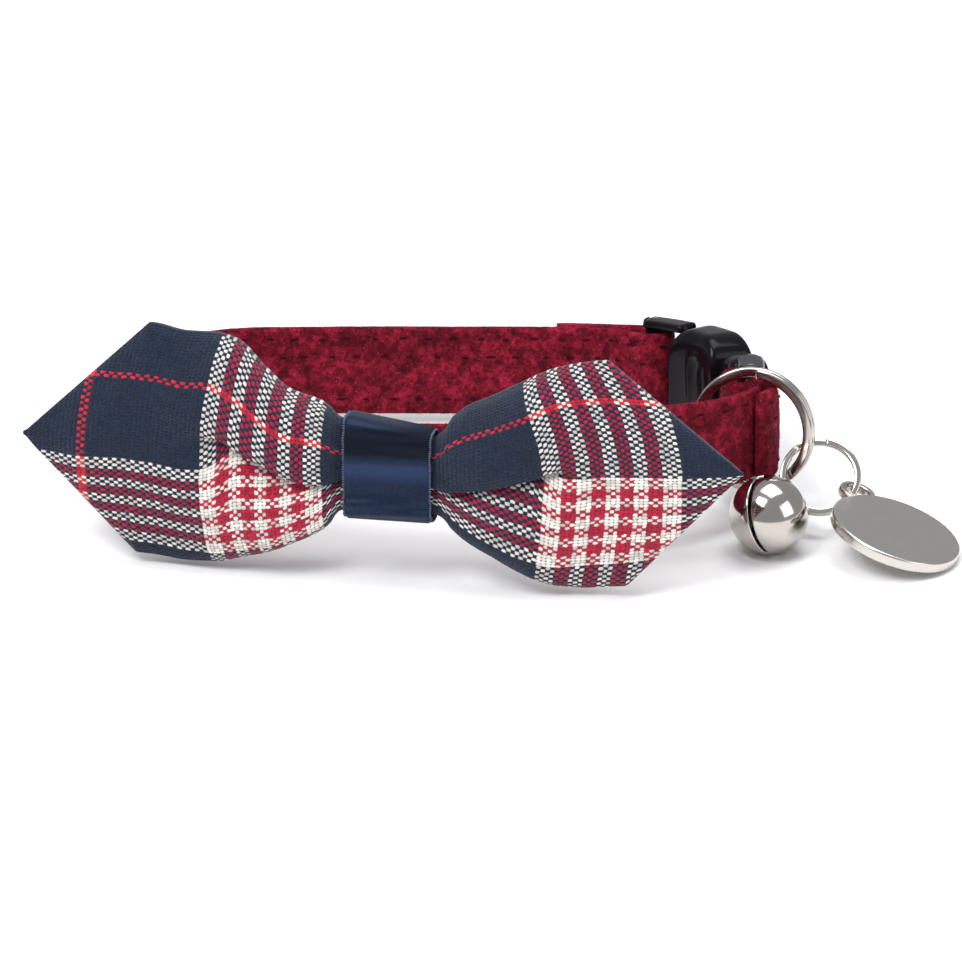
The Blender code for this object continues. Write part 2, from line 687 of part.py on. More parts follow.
def male_buckle(arc, mouth, latch, collection, cutters, parent, material):
    """The insert: a base with its strap bar, two barbed prongs and a centre guide."""
    low, high = buckle_levels()
    base_start = mouth + CLEARANCE
    base_end = BUCKLE_SPAN - BAR_THICKNESS / 2 - SLOT_LENGTH - CLEARANCE
    half = BASE_DEPTH / 2
    inset = 2 * CLEARANCE
    body = block("male_body", (base_start, -half, low + inset), (base_end, half, high - inset), cutters)
    bevel(body, BUCKLE_BEVEL)
    depth = PRONG_DEPTH / 2
    tip = latch - BARB_LENGTH / 2
    floor = low + HOUSING_WALL + CLEARANCE
    roof = high - HOUSING_WALL - CLEARANCE
    root = (base_start + base_end) / 2
    guide_low = (STRAP_WIDTH - PRONG_WIDTH) / 2
    bars = (
        ("lower", floor, floor + PRONG_WIDTH, tip),
        ("upper", roof - PRONG_WIDTH, roof, tip),
        ("guide", guide_low, guide_low + PRONG_WIDTH, base_start - PRONG_LENGTH / 2),
    )
    for label, bottom, top, reach in bars:
        prong = block(f"male_{label}", (reach, -depth, bottom), (root, depth, top), cutters)
        boolean(body, prong, "UNION")
    barb = BARB_LENGTH
    for label, bottom, top in (
        ("lower_barb", floor - BARB_REACH, floor + PRONG_WIDTH / 2),
        ("upper_barb", roof - PRONG_WIDTH / 2, roof + BARB_REACH),
    ):
        ends = (latch - barb / 2, latch + barb / 2)
        head = block(f"male_{label}", (ends[0], -depth, bottom), (ends[1], depth, top), cutters)
        boolean(body, head, "UNION")
    frame_end("male", BUCKLE_SPAN, -1.0, body, cutters)
    mesh = bend_mesh(frozen_mesh(body), arc)
    mesh.name = "buckle_male"
    mark_cutter(body)
    shade(mesh)
    return add_object("buckle_male", mesh, collection, parent, material)


def coil_mesh(name, outer, band, wire, frame):
    """A split ring: a flat wire wound almost twice, stepping over once beside its own start."""
    middle = outer - band / 2
    pitch = wire + COIL_GAP
    steps = int(round(COIL_STEPS * COIL_TURNS))
    soft = COIL_ROUND
    section = (
        (-0.5 + soft, -0.5), (0.5 - soft, -0.5), (0.5, 0.0),
        (0.5 - soft, 0.5), (-0.5 + soft, 0.5), (-0.5, 0.0),
    )
    rings = []
    for step in range(steps + 1):
        share = step / steps
        turns = COIL_TURNS * share
        angle = 2 * math.pi * turns
        climb = min(1.0, max(0.0, (turns - COIL_STEP_START) / (COIL_STEP_END - COIL_STEP_START)))
        height = (climb - 0.5) * pitch
        ends = min(1.0, COIL_END_SHARE + COIL_END_TAPER * min(share, 1.0 - share))
        ring = []
        for across, up in section:
            radius = middle + across * band * ends
            local = Vector((radius * math.cos(angle), radius * math.sin(angle), height + up * wire))
            ring.append(tuple(frame @ local))
        rings.append(ring)
    mesh = loft_mesh(name, rings)
    shade(mesh)
    return mesh


def axes_matrix(origin, x_axis, z_axis):
    """A frame at a point, with its z axis exact and its x axis as near as it can be."""
    z = Vector(z_axis).normalized()
    x = Vector(x_axis)
    x = (x - z * x.dot(z)).normalized()
    y = z.cross(x)
    turned = Matrix((x, y, z)).transposed().to_4x4()
    return Matrix.Translation(Vector(origin)) @ turned


def turned_object(name, profile, steps, collection):
    """A profile in the XZ plane, turned about Z by a Screw modifier."""
    mesh = bpy.data.meshes.new(name)
    mesh.from_pydata([(x, 0.0, z) for x, z in profile], [(i, i + 1) for i in range(len(profile) - 1)], [])
    made = add_object(name, mesh, collection)
    screw = made.modifiers.new("turn", "SCREW")
    screw.steps = steps
    screw.render_steps = steps
    screw.use_merge_vertices = True
    screw.merge_threshold = 0.00001
    return made


def ring_object(name, major, minor, frame, collection):
    """A wire ring as a torus primitive set in a frame."""
    bpy.ops.mesh.primitive_torus_add(
        major_radius=major, minor_radius=minor, major_segments=SHANK_SEGMENTS, minor_segments=SHANK_SIDES
    )
    made = bpy.context.object
    made.name = name
    for owner in list(made.users_collection):
        owner.objects.unlink(made)
    collection.objects.link(made)
    made.matrix_world = frame
    return made


def bell_object(centre, slot_axis, shank_axis, shank_side, collection, cutters, parent, material):
    """The bell: a thin ball cut by its slot, with a wire shank soldered on."""
    arc = np.linspace(0.0, math.pi, BELL_STEPS // 2 + 1)
    outer = [(BELL_RADIUS * math.sin(a), BELL_RADIUS * math.cos(a)) for a in arc]
    turned = turned_object("bell_ball", outer, BELL_STEPS, cutters)
    inner_radius = BELL_RADIUS - BELL_WALL
    inner = [(inner_radius * math.sin(a), inner_radius * math.cos(a)) for a in arc]
    hollow = turned_object("bell_hollow", inner, BELL_STEPS, cutters)
    boolean(turned, hollow, "DIFFERENCE")
    half = BELL_SLOT / 2
    reach = BELL_RADIUS + BELL_WALL
    slot = block("bell_slot", (-half, -reach, 0.0), (half, reach, reach), cutters)
    boolean(turned, slot, "DIFFERENCE")
    for side in (-1.0, 1.0):
        frame = axes_matrix((0.0, side * BELL_RADIUS, 0.0), (1.0, 0.0, 0.0), (0.0, 1.0, 0.0))
        plug = rod_mesh("bell_slot_end", BELL_SLOT_END, 4 * BELL_WALL, BELL_STEPS // 2, frame)
        boolean(turned, add_object("bell_slot_end", plug, cutters), "DIFFERENCE")
    world = axes_matrix(centre, slot_axis, -Vector(shank_axis))
    shank_frame = axes_matrix(
        Vector(centre) + Vector(shank_axis).normalized() * (BELL_RADIUS + SHANK_RADIUS - SHANK_WIRE),
        shank_axis,
        shank_side,
    )
    shank = ring_object("bell_shank", SHANK_RADIUS, SHANK_WIRE, world.inverted() @ shank_frame, cutters)
    boolean(turned, shank, "UNION")
    mesh = frozen_mesh(turned)
    mesh.transform(world)
    mesh.name = "bell"
    mark_cutter(turned)
    shade(mesh)
    return add_object("bell", mesh, collection, parent, material)


def tag_object(centre, normal, ear_side, collection, cutters, parent, material):
    """The tag: a round disc with a raised rim edge and a pierced ear, in one piece."""
    half = TAG_THICKNESS / 2
    soft = TAG_RIM / 2
    profile = [
        (0.0, half), (TAG_RADIUS - TAG_RIM, half), (TAG_RADIUS - soft / 2, half - soft / 2),
        (TAG_RADIUS, half - soft), (TAG_RADIUS, -half + soft), (TAG_RADIUS - soft, -half), (0.0, -half),
    ]
    disc = turned_object("tag_disc", profile, TAG_STEPS, cutters)
    ear_at = TAG_RADIUS + EAR_HOLE - TAG_RIM / 2
    place = Matrix.Translation((ear_at, 0.0, 0.0))
    ear = rod_mesh("tag_ear", EAR_RADIUS, EAR_THICKNESS, EAR_STEPS, place)
    boolean(disc, add_object("tag_ear", ear, cutters), "UNION")
    hole = rod_mesh("tag_hole", EAR_HOLE, 4 * EAR_THICKNESS, EAR_STEPS * 3 // 4, place)
    boolean(disc, add_object("tag_hole", hole, cutters), "DIFFERENCE")
    world = axes_matrix(centre, ear_side, normal)
    mesh = frozen_mesh(disc)
    mesh.transform(world)
    mesh.name = "tag"
    mark_cutter(disc)
    shade(mesh)
    return add_object("tag", mesh, collection, parent, material)


def nearest_route(route, wanted):
    """Index of the route's point that lies nearest to a plan point."""
    return int(np.argmin(np.linalg.norm(route[:, :2] - np.asarray(wanted), axis=1)))


def front_point(route):
    """The point of the front stretch at the bow's centre, where across is nought."""
    front = route[route[:, 1] < LOOP_DEPTH / 2]
    front = front[np.argsort(front[:, 0])]
    back, lift = (np.interp(0.0, front[:, 0], column) for column in front.T[1:])
    return np.array([0.0, back, lift])


def stand_on_origin(root, objects):
    """Move the whole model so that its box stands centred on the origin."""
    graph = bpy.context.evaluated_depsgraph_get()
    graph.update()
    corners = []
    for item in objects:
        seen = item.evaluated_get(graph)
        mesh = seen.to_mesh()
        points = np.empty(len(mesh.vertices) * 3)
        mesh.vertices.foreach_get("co", points)
        points = points.reshape(-1, 3)
        matrix = np.array(seen.matrix_world)
        corners.append(points @ matrix[:3, :3].T + matrix[:3, 3])
        seen.to_mesh_clear()
    every = np.vstack(corners)
    low = every.min(axis=0)
    high = every.max(axis=0)
    root.location = Vector((-(low[0] + high[0]) / 2, -(low[1] + high[1]) / 2, -low[2]))


def main():
    """Build every piece, then stand the collar on the origin."""
    clear_scene()
    pieces = new_collection("cat_collar")
    cutters = new_collection("cutters")
    velvet = new_material("velvet", (0.16, 0.004, 0.014), 0.9)
    cotton = new_material("tartan cotton", (0.02, 0.03, 0.08), 0.85)
    satin = new_material("navy satin", (0.010, 0.018, 0.055), 0.35)
    plastic = new_material("black plastic", (0.005, 0.005, 0.006), 0.25)
    nickel = new_material("nickel", (0.62, 0.59, 0.55), 0.15, 1.0)

    root = bpy.data.objects.new("collar_root", None)
    pieces.objects.link(root)
    loop = bpy.data.objects.new("loop_plane", None)
    pieces.objects.link(loop)
    loop.parent = root

    line, route, arc = strap_line()
    strap = strap_mesh(line)
    shade(strap)
    add_object("strap", strap, pieces, loop, velvet)

    female, mouth, latch = female_buckle(arc, pieces, cutters, loop, plastic)
    male_buckle(arc, mouth, latch, pieces, cutters, loop, plastic)

    low, high, rear, front = waist_box()
    band_back = rear - 2 * CLEARANCE - BAND_THICKNESS
    behind = front_point(route)
    bow_depth = STRAP_THICKNESS / 2 - band_back + CLEARANCE
    bow_height = STRAP_WIDTH / 2 + BOW_RISE + behind[2]
    bow_place = Matrix.Translation((behind[0], behind[1] - bow_depth, bow_height)) @ Matrix.Rotation(BOW_YAW, 4, "Z")
    bow = bow_mesh()
    shade(bow, 60.0)
    bow_object = add_object("bow_tie", bow, pieces, loop, cotton)
    bow_object.matrix_local = bow_place
    band = band_mesh()
    shade(band, 60.0)
    band_object = add_object("bow_band", band, pieces, loop, satin)
    band_object.matrix_local = bow_place
    wall = band_object.modifiers.new("wall", "SOLIDIFY")
    wall.thickness = BAND_THICKNESS
    wall.offset = 1.0

    bpy.context.view_layer.update()
    tilt, lift = loop_rest([item for item in pieces.objects if item.type == "MESH"])
    loop.location = (0.0, 0.0, lift)
    loop.rotation_euler = (-tilt, 0.0, 0.0)
    loop_frame = Matrix.Translation((0.0, 0.0, lift)) @ Matrix.Rotation(-tilt, 4, "X")

    hardware(route, loop_frame, pieces, cutters, root, nickel)
    stand_on_origin(root, [item for item in pieces.objects if item.type == "MESH"])


def loop_rest(objects):
    """Angle and height at which the loop's pieces rest on the ground, on the bow in front and on the back."""
    points = np.array([item.matrix_local @ vert.co for item in objects for vert in item.data.vertices])
    middle = LOOP_DEPTH / 2
    low = 0.0
    high = math.pi / 4
    for _ in range(REST_ROUNDS):
        first = low + (high - low) / 3
        second = high - (high - low) / 3
        heights = []
        for angle in (first, second):
            slope = math.tan(angle)
            heights.append(float(np.min(points[:, 2] - slope * (points[:, 1] - middle))))
        if heights[0] < heights[1]:
            low = first
        else:
            high = second
    tilt = (low + high) / 2
    lowest = np.min(points[:, 2] * math.cos(tilt) - points[:, 1] * math.sin(tilt))
    return tilt, -float(lowest)


def direction(azimuth, rise):
    """Unit vector at an angle round Z and an angle above the ground."""
    return Vector((math.cos(rise) * math.cos(azimuth), math.cos(rise) * math.sin(azimuth), math.sin(rise)))


def split_ring_frame(route, loop_frame):
    """Centre, right and down directions of the split ring, set round the strap's right turn."""
    row = ROUTE_ROWS[0]
    turn = route[nearest_route(route, (row[0] * LOOP_WIDTH, row[1] * LOOP_DEPTH))]
    hub = loop_frame @ Vector((turn[0], turn[1], turn[2] + STRAP_WIDTH / 2))
    yaw = SPLIT_RING_YAW
    lean = SPLIT_RING_LEAN
    right = Vector((math.cos(yaw), math.sin(yaw), 0.0))
    down = Vector((math.sin(yaw) * math.sin(lean), -math.cos(yaw) * math.sin(lean), -math.cos(lean)))
    normal = right.cross(down)
    centre = hub + normal * SPLIT_RING_SHIFT
    return centre, right, down


def small_ring_frame(link):
    """Centre, hanging direction, sideways direction and normal of the small ring."""
    hang = direction(SMALL_RING_AZIMUTH, SMALL_RING_FALL)
    level = hang.cross(Vector((0.0, 0.0, 1.0))).normalized()
    raised = level.cross(hang)
    normal = raised * math.cos(SMALL_RING_ROLL) + level * math.sin(SMALL_RING_ROLL)
    middle = SMALL_RING_OUTER - SMALL_RING_BAND / 2
    centre = link + hang * (middle - SMALL_RING_HANG)
    return centre, hang, normal.cross(hang), normal


def hardware(route, loop_frame, pieces, cutters, root, nickel):
    """Both split rings, the bell, its pea and the tag, linked from the strap to the ground."""
    centre, right, down = split_ring_frame(route, loop_frame)
    frame = axes_matrix(centre, -down, right.cross(down))
    mesh = coil_mesh("split_ring", SPLIT_RING_OUTER, SPLIT_RING_BAND, SPLIT_RING_WIRE, frame)
    add_object("split_ring", mesh, pieces, root, nickel)

    reach = SPLIT_RING_OUTER - SPLIT_RING_BAND / 2
    link = centre + (right * math.cos(SPLIT_RING_LINK) + down * math.sin(SPLIT_RING_LINK)) * reach
    small, hang, side, normal = small_ring_frame(link)
    frame = axes_matrix(small, -hang, normal)
    mesh = coil_mesh("small_ring", SMALL_RING_OUTER, SMALL_RING_BAND, SMALL_RING_WIRE, frame)
    add_object("small_ring", mesh, pieces, root, nickel)

    middle = SMALL_RING_OUTER - SMALL_RING_BAND / 2
    held = small + (hang * math.cos(BELL_AT) + side * math.sin(BELL_AT)) * middle
    along_wire = side * math.cos(BELL_AT) - hang * math.sin(BELL_AT)
    away = direction(BELL_AZIMUTH, BELL_RISE)
    across = (along_wire - away * along_wire.dot(away)).normalized()
    bell = held + away * (BELL_RADIUS + SHANK_RADIUS - SHANK_WIRE + SHANK_SLACK)
    slot_side = Vector((math.cos(BELL_SLOT_LEAN), 0.0, math.sin(BELL_SLOT_LEAN)))
    bell_object(bell, slot_side, -away, across, pieces, cutters, root, nickel)
    pea_mesh = bpy.data.meshes.new("bell_pea")
    work = bmesh.new()
    bmesh.ops.create_uvsphere(work, u_segments=PEA_STEPS, v_segments=PEA_STEPS * 2 // 3, radius=PEA_RADIUS)
    bmesh.ops.translate(
        work, vec=bell - Vector((0.0, 0.0, BELL_RADIUS - BELL_WALL - PEA_RADIUS - CLEARANCE)), verts=work.verts
    )
    work.to_mesh(pea_mesh)
    work.free()
    shade(pea_mesh)
    add_object("bell_pea", pea_mesh, pieces, root, nickel)

    pierced = small + (hang * math.cos(TAG_AT) + side * math.sin(TAG_AT)) * middle
    face = Vector((TAG_LEAN[0], TAG_LEAN[1], 1.0)).normalized()
    level = (Vector((1.0, 0.0, 0.0)) - face * face.x).normalized()
    ear = level * math.cos(TAG_EAR_TURN) + face.cross(level) * math.sin(TAG_EAR_TURN)
    tag = pierced - ear * (TAG_RADIUS + EAR_HOLE - TAG_RIM / 2 + EAR_SLACK)
    tag_object(tag, face, ear, pieces, cutters, root, nickel)


main()
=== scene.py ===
"""Looks of a cat collar: velvet strap, tartan bow tie, satin band, curved buckle, rings, bell and tag.

The pieces are built here at full detail in the places and sizes of the CAD frame, and only the
bell's pea is shown as the frame holds it. Each kind of piece is a class with a build method for
its geometry and a finish for its surface.
"""
import logging
import math
from dataclasses import dataclass
from enum import Enum

import bmesh
import bpy
import numpy as np
from mathutils import Matrix, Vector


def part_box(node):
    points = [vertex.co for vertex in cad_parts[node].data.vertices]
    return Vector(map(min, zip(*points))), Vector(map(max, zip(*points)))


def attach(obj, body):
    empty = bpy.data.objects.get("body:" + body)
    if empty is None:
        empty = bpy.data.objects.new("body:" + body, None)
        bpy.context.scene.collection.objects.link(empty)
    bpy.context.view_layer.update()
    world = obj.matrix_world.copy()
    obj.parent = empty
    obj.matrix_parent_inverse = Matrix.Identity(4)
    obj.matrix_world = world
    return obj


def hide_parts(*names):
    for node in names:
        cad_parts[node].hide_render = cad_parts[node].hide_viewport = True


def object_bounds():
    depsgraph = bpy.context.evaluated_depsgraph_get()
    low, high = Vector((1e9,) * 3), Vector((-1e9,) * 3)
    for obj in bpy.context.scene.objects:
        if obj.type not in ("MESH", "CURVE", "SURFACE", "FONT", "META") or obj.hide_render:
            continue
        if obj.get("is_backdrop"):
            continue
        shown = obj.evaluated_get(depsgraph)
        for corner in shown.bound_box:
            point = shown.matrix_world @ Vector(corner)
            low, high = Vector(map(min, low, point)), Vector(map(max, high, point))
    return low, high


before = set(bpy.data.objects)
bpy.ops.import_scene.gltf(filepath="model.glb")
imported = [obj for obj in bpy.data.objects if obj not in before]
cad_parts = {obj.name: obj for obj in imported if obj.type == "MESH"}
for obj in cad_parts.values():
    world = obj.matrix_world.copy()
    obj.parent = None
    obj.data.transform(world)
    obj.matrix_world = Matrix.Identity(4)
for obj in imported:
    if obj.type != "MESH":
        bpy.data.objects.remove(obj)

log = logging.getLogger("cat_collar")

MM = 0.001
TAU = 2.0 * math.pi

# Sizes shared with the CAD frame, in metres and radians.
CLEARANCE = 0.0003
STRAP_WIDTH = 0.0100
STRAP_THICKNESS = 0.0015
FOLD_LENGTH = 0.0110
FOLD_SPREAD = 0.0050
LOOP_WIDTH = 0.0700
LOOP_DEPTH = 0.0400
LOOP_TILT = math.radians(8.5008)
BUCKLE_SPAN = 0.0232
BUCKLE_RADIUS = 0.0192
BUCKLE_TURN_IN = math.radians(20.0)
BAR_THICKNESS = 0.0016
RAIL_THICKNESS = 0.0010
RAIL_DEPTH = 0.0030
SLOT_LENGTH = 0.0027
HOUSING_LENGTH = 0.0096
HOUSING_DEPTH = 0.0056
BASE_DEPTH = 0.0050
PRONG_WIDTH = 0.0014
PRONG_DEPTH = 0.0024
PRONG_LENGTH = 0.0072
WING_LEFT = 0.0411
WING_RIGHT = 0.0389
BOW_HALF_HEIGHT = 0.0130
BOW_PUFF = 0.0040
BOW_BACK_PUFF = 0.0016
FOLD_LAP = 0.0034
CLOTH_EDGE = 0.0009
BOW_YAW = math.radians(-10.3)
BAND_WIDTH = 0.0095
BAND_THICKNESS = 0.0006
SPLIT_RING_YAW = math.radians(-18.0)
SPLIT_RING_LEAN = math.radians(8.0)
SMALL_RING_AZIMUTH = math.radians(-28.7)
SMALL_RING_FALL = math.radians(-25.7)
SMALL_RING_ROLL = math.radians(40.0)
COIL_GAP = 0.0001
COIL_TURNS = 1.83
COIL_STEP_START = 0.84
COIL_STEP_END = 0.98
BELL_RADIUS = 0.0044
BELL_WALL = 0.0004
BELL_SLOT = 0.0007
BELL_SLOT_END = 0.0011
BELL_AT = math.radians(262.6)
BELL_AZIMUTH = math.radians(-118.8)
BELL_RISE = math.radians(7.6)
BELL_SLOT_LEAN = math.radians(12.0)
SHANK_RADIUS = 0.0013
SHANK_WIRE = 0.0003
TAG_RADIUS = 0.0074
TAG_THICKNESS = 0.0013
TAG_RIM = 0.0006
TAG_EAR_TURN = math.radians(120.0)
TAG_LEAN = (0.325, -0.05)
EAR_RADIUS = 0.0021
EAR_HOLE = 0.0013
EAR_THICKNESS = 0.0010
TIP_HEIGHT = 0.00035
PUFF_POWER = 0.6
CAPSULE_END = 0.04
ROUTE_STEP = 0.0003
LINE_STEP = 0.00035
SEED = 7


class Node(str, Enum):
    """Names of the CAD nodes."""

    STRAP = "strap"
    BOW = "bow_tie"
    BAND = "bow_band"
    FEMALE = "buckle_female"
    MALE = "buckle_male"
    SPLIT_RING = "split_ring"
    SMALL_RING = "small_ring"
    BELL = "bell"
    PEA = "bell_pea"
    TAG = "tag"


class Slot(str, Enum):
    """Material slots of the record."""

    VELVET = "velvet"
    TARTAN = "tartan"
    SATIN = "satin"
    PLASTIC = "plastic"
    NICKEL = "nickel"
    SATIN_NICKEL = "satin_nickel"


# The strap's route seen from above: across the loop, back from its front, and lift, as shares
# of LOOP_WIDTH, LOOP_DEPTH and STRAP_WIDTH.
ROUTE = np.array([
    (0.578, 0.330, 0.00), (0.528, 0.185, 0.00), (0.425, 0.085, 0.00), (0.260, 0.005, -0.03),
    (0.090, -0.010, -0.10), (-0.085, 0.030, -0.10), (-0.250, 0.085, 0.00), (-0.360, 0.220, 0.00),
    (-0.405, 0.450, 0.00), (-0.375, 0.760, 0.00), (-0.280, 0.960, 0.00), (-0.100, 1.000, 0.00),
    (0.100, 1.000, 0.00), (0.290, 0.995, 0.00), (0.418, 0.965, 0.00),
])

# Wing sections from the waist outwards; the columns are named in WING_COLUMNS.
WING_COLUMNS = ("along", "top", "bottom", "fold", "lap", "upper", "lower", "rear")
LEFT_ROWS = np.array([
    (0.000, 0.38, -0.36, -0.10, 0.60, 0.46, 0.30, 0.90),
    (0.112, 0.39, -0.37, -0.10, 0.95, 0.54, 0.36, 0.95),
    (0.190, 0.55, -0.58, -0.13, 1.00, 0.84, 0.60, 1.00),
    (0.274, 0.64, -0.73, -0.08, 1.00, 1.00, 0.78, 1.00),
    (0.340, 0.82, -0.83, 0.03, 0.85, 1.00, 0.82, 0.95),
    (0.414, 1.05, -0.90, 0.17, 0.62, 0.96, 0.80, 0.90),
    (0.476, 1.10, -0.94, 0.32, 0.34, 0.88, 0.76, 0.85),
    (0.545, 1.10, -0.94, 0.50, 0.06, 0.76, 0.68, 0.80),
    (0.650, 1.16, -0.90, 0.40, 0.00, 0.60, 0.58, 0.70),
    (0.820, 1.16, -0.86, 0.22, 0.00, 0.42, 0.42, 0.55),
    (1.000, 1.16, -0.82, 0.16, 0.00, 0.22, 0.22, 0.40),
])
RIGHT_ROWS = np.array([
    (0.000, 0.38, -0.36, -0.10, 0.60, 0.46, 0.30, 0.90),
    (0.118, 0.37, -0.40, -0.16, 0.90, 0.52, 0.36, 0.95),
    (0.222, 0.57, -0.62, -0.13, 1.00, 0.82, 0.60, 1.00),
    (0.282, 0.66, -0.72, -0.09, 0.95, 0.95, 0.74, 1.00),
    (0.370, 0.81, -0.86, -0.03, 0.78, 1.00, 0.82, 0.95),
    (0.466, 0.97, -0.95, 0.05, 0.42, 0.90, 0.80, 0.90),
    (0.542, 1.04, -0.96, 0.13, 0.10, 0.78, 0.72, 0.85),
    (0.617, 1.07, -0.94, 0.16, 0.00, 0.66, 0.62, 0.75),
    (0.800, 1.07, -0.90, 0.12, 0.00, 0.44, 0.42, 0.55),
    (1.000, 1.07, -0.86, 0.08, 0.00, 0.22, 0.22, 0.40),
])
LEFT_POINT = {"top_at": 0.655, "top": 1.16, "bottom_at": 0.695, "bottom": -0.88, "tip": 0.16}
RIGHT_POINT = {"top_at": 0.617, "top": 1.07, "bottom_at": 0.675, "bottom": -0.92, "tip": 0.08}

# Front of a wing's section from its top edge to its bottom edge: share of the way down where
# there is no fold, anchor height, share towards the section's end, share of the lap above the
# anchor, shares of the upper and lower puffs.
FRONT_ROWS = (
    (0.000, "top", 0.00, 0.0, 0.00, 0.00), (0.040, "top", 0.07, 0.0, 0.46, 0.00),
    (0.130, "top", 0.28, 0.0, 0.86, 0.00), (0.260, "top", 0.60, 0.0, 1.00, 0.00),
    (0.370, "fold", 0.18, 0.0, 1.00, 0.00), (0.430, "fold", 0.02, 0.0, 0.90, 0.00),
    (0.460, "fold", 0.00, 0.1, 0.70, 0.00), (0.480, "fold", 0.00, 0.6, 0.56, 0.00),
    (0.500, "fold", 0.00, 1.0, 0.42, 0.00), (0.520, "fold", 0.00, 0.9, 0.24, 0.06),
    (0.550, "fold", 0.00, 0.3, 0.04, 0.50), (0.620, "bottom", 0.80, 0.0, 0.00, 0.92),
    (0.740, "bottom", 0.50, 0.0, 0.00, 1.00), (0.870, "bottom", 0.22, 0.0, 0.00, 0.84),
    (0.960, "bottom", 0.06, 0.0, 0.00, 0.44), (1.000, "bottom", 0.00, 0.0, 0.00, 0.00),
)
REAR_POINTS = 7


# Curves and meshes


def catmull(points: np.ndarray, per_span: int) -> np.ndarray:
    """Catmull-Rom curve with even spans through rows of points, past both ends by reflection."""
    given = np.asarray(points, float)
    padded = np.vstack((2 * given[0] - given[1], given, 2 * given[-1] - given[-2]))
    t = np.linspace(0.0, 1.0, per_span, endpoint=False)[:, None, None]
    p0, p1, p2, p3 = padded[:-3], padded[1:-2], padded[2:-1], padded[3:]
    square = (2 * p0 - 5 * p1 + 4 * p2 - p3) * t**2
    cube = (3 * p1 - p0 - 3 * p2 + p3) * t**3
    out = 0.5 * (2 * p1 + (p2 - p0) * t + square + cube)
    out = out.transpose(1, 0, 2).reshape(-1, given.shape[1])
    return np.vstack((out, given[-1:]))


def centripetal(points: np.ndarray, per_span: int) -> np.ndarray:
    """Centripetal Catmull-Rom curve through the points, as in the CAD frame."""
    given = np.asarray(points, float)
    padded = np.vstack((2 * given[0] - given[1], given, 2 * given[-1] - given[-2]))
    knots = np.concatenate(([0.0], np.cumsum(np.sqrt(np.linalg.norm(np.diff(padded, axis=0), axis=1)))))
    pieces = []
    for i in range(1, len(padded) - 2):
        p0, p1, p2, p3 = padded[i - 1:i + 3]
        t0, t1, t2, t3 = knots[i - 1:i + 3]
        t = np.linspace(t1, t2, per_span, endpoint=False)[:, None]
        a1 = (t1 - t) / (t1 - t0) * p0 + (t - t0) / (t1 - t0) * p1
        a2 = (t2 - t) / (t2 - t1) * p1 + (t - t1) / (t2 - t1) * p2
        a3 = (t3 - t) / (t3 - t2) * p2 + (t - t2) / (t3 - t2) * p3
        b1 = (t2 - t) / (t2 - t0) * a1 + (t - t0) / (t2 - t0) * a2
        b2 = (t3 - t) / (t3 - t1) * a2 + (t - t1) / (t3 - t1) * a3
        pieces.append((t2 - t) / (t2 - t1) * b1 + (t - t1) / (t2 - t1) * b2)
    pieces.append(given[-1:])
    return np.vstack(pieces)


def arc_lengths(points: np.ndarray) -> np.ndarray:
    """Length along a polyline at each of its points."""
    return np.concatenate(([0.0], np.cumsum(np.linalg.norm(np.diff(points, axis=0), axis=1))))


def resample(points: np.ndarray, count: int) -> np.ndarray:
    """A number of points at an even spacing along a polyline."""
    lengths = arc_lengths(points)
    wanted = np.linspace(0.0, lengths[-1], count)
    return np.column_stack([np.interp(wanted, lengths, column) for column in points.T])


def monotone(x: np.ndarray, y: np.ndarray, where: np.ndarray) -> np.ndarray:
    """Monotone cubic through (x, y), read at the places in where."""
    step = np.diff(x)
    slope = np.diff(y) / step
    tangent = np.zeros(len(x))
    same = slope[:-1] * slope[1:] > 0
    inner = np.zeros(len(x) - 2)
    inner[same] = 2 * slope[:-1][same] * slope[1:][same] / (slope[:-1][same] + slope[1:][same])
    tangent[1:-1] = inner
    i = np.clip(np.searchsorted(x, where, side="right") - 1, 0, len(step) - 1)
    h = step[i]
    t = np.clip((where - x[i]) / h, 0.0, 1.0)
    return (
        (2 * t**3 - 3 * t**2 + 1) * y[i] + (t**3 - 2 * t**2 + t) * h * tangent[i]
        + (-2 * t**3 + 3 * t**2) * y[i + 1] + (t**3 - t**2) * h * tangent[i + 1]
    )


def wave_noise(points: np.ndarray, size: float, seed: int, waves: int = 24) -> np.ndarray:
    """Smooth noise from -1 to 1: a sum of plane waves about `size` metres long in random directions."""
    rng = np.random.default_rng(seed)
    turn = rng.normal(size=(waves, points.shape[1]))
    turn /= np.linalg.norm(turn, axis=1)[:, None]
    turn *= (TAU / size) * rng.uniform(0.6, 1.6, size=(waves, 1))
    phase = rng.uniform(0.0, TAU, size=waves)
    return np.sin(points @ turn.T + phase).sum(axis=1) / math.sqrt(waves)


def make_mesh(name: str, verts: np.ndarray, faces: np.ndarray, uv: np.ndarray | None = None,
              smooth: bool = True) -> bpy.types.Mesh:
    """A mesh from whole arrays.

    Args:
        name: name of the mesh.
        verts: (n, 3) points in metres.
        faces: (m, 3) or (m, 4) corners.
        uv: (n, 2) map values per point, or None.
        smooth: smooth shading.

    Returns:
        The mesh, with its UV map "threads" where uv is given.
    """
    mesh = bpy.data.meshes.new(name)
    faces = np.asarray(faces, np.int32)
    corners = faces.shape[1]
    mesh.vertices.add(len(verts))
    mesh.vertices.foreach_set("co", np.asarray(verts, np.float32).ravel())
    mesh.loops.add(faces.size)
    mesh.loops.foreach_set("vertex_index", faces.ravel())
    mesh.polygons.add(len(faces))
    mesh.polygons.foreach_set("loop_start", np.arange(0, faces.size, corners, dtype=np.int32))
    mesh.polygons.foreach_set("use_smooth", np.full(len(faces), smooth))
    mesh.update(calc_edges=True)
    mesh.validate()
    if uv is not None:
        layer = mesh.uv_layers.new(name="threads")
        layer.data.foreach_set("uv", np.asarray(uv, np.float32)[faces.ravel()].ravel())
    return mesh


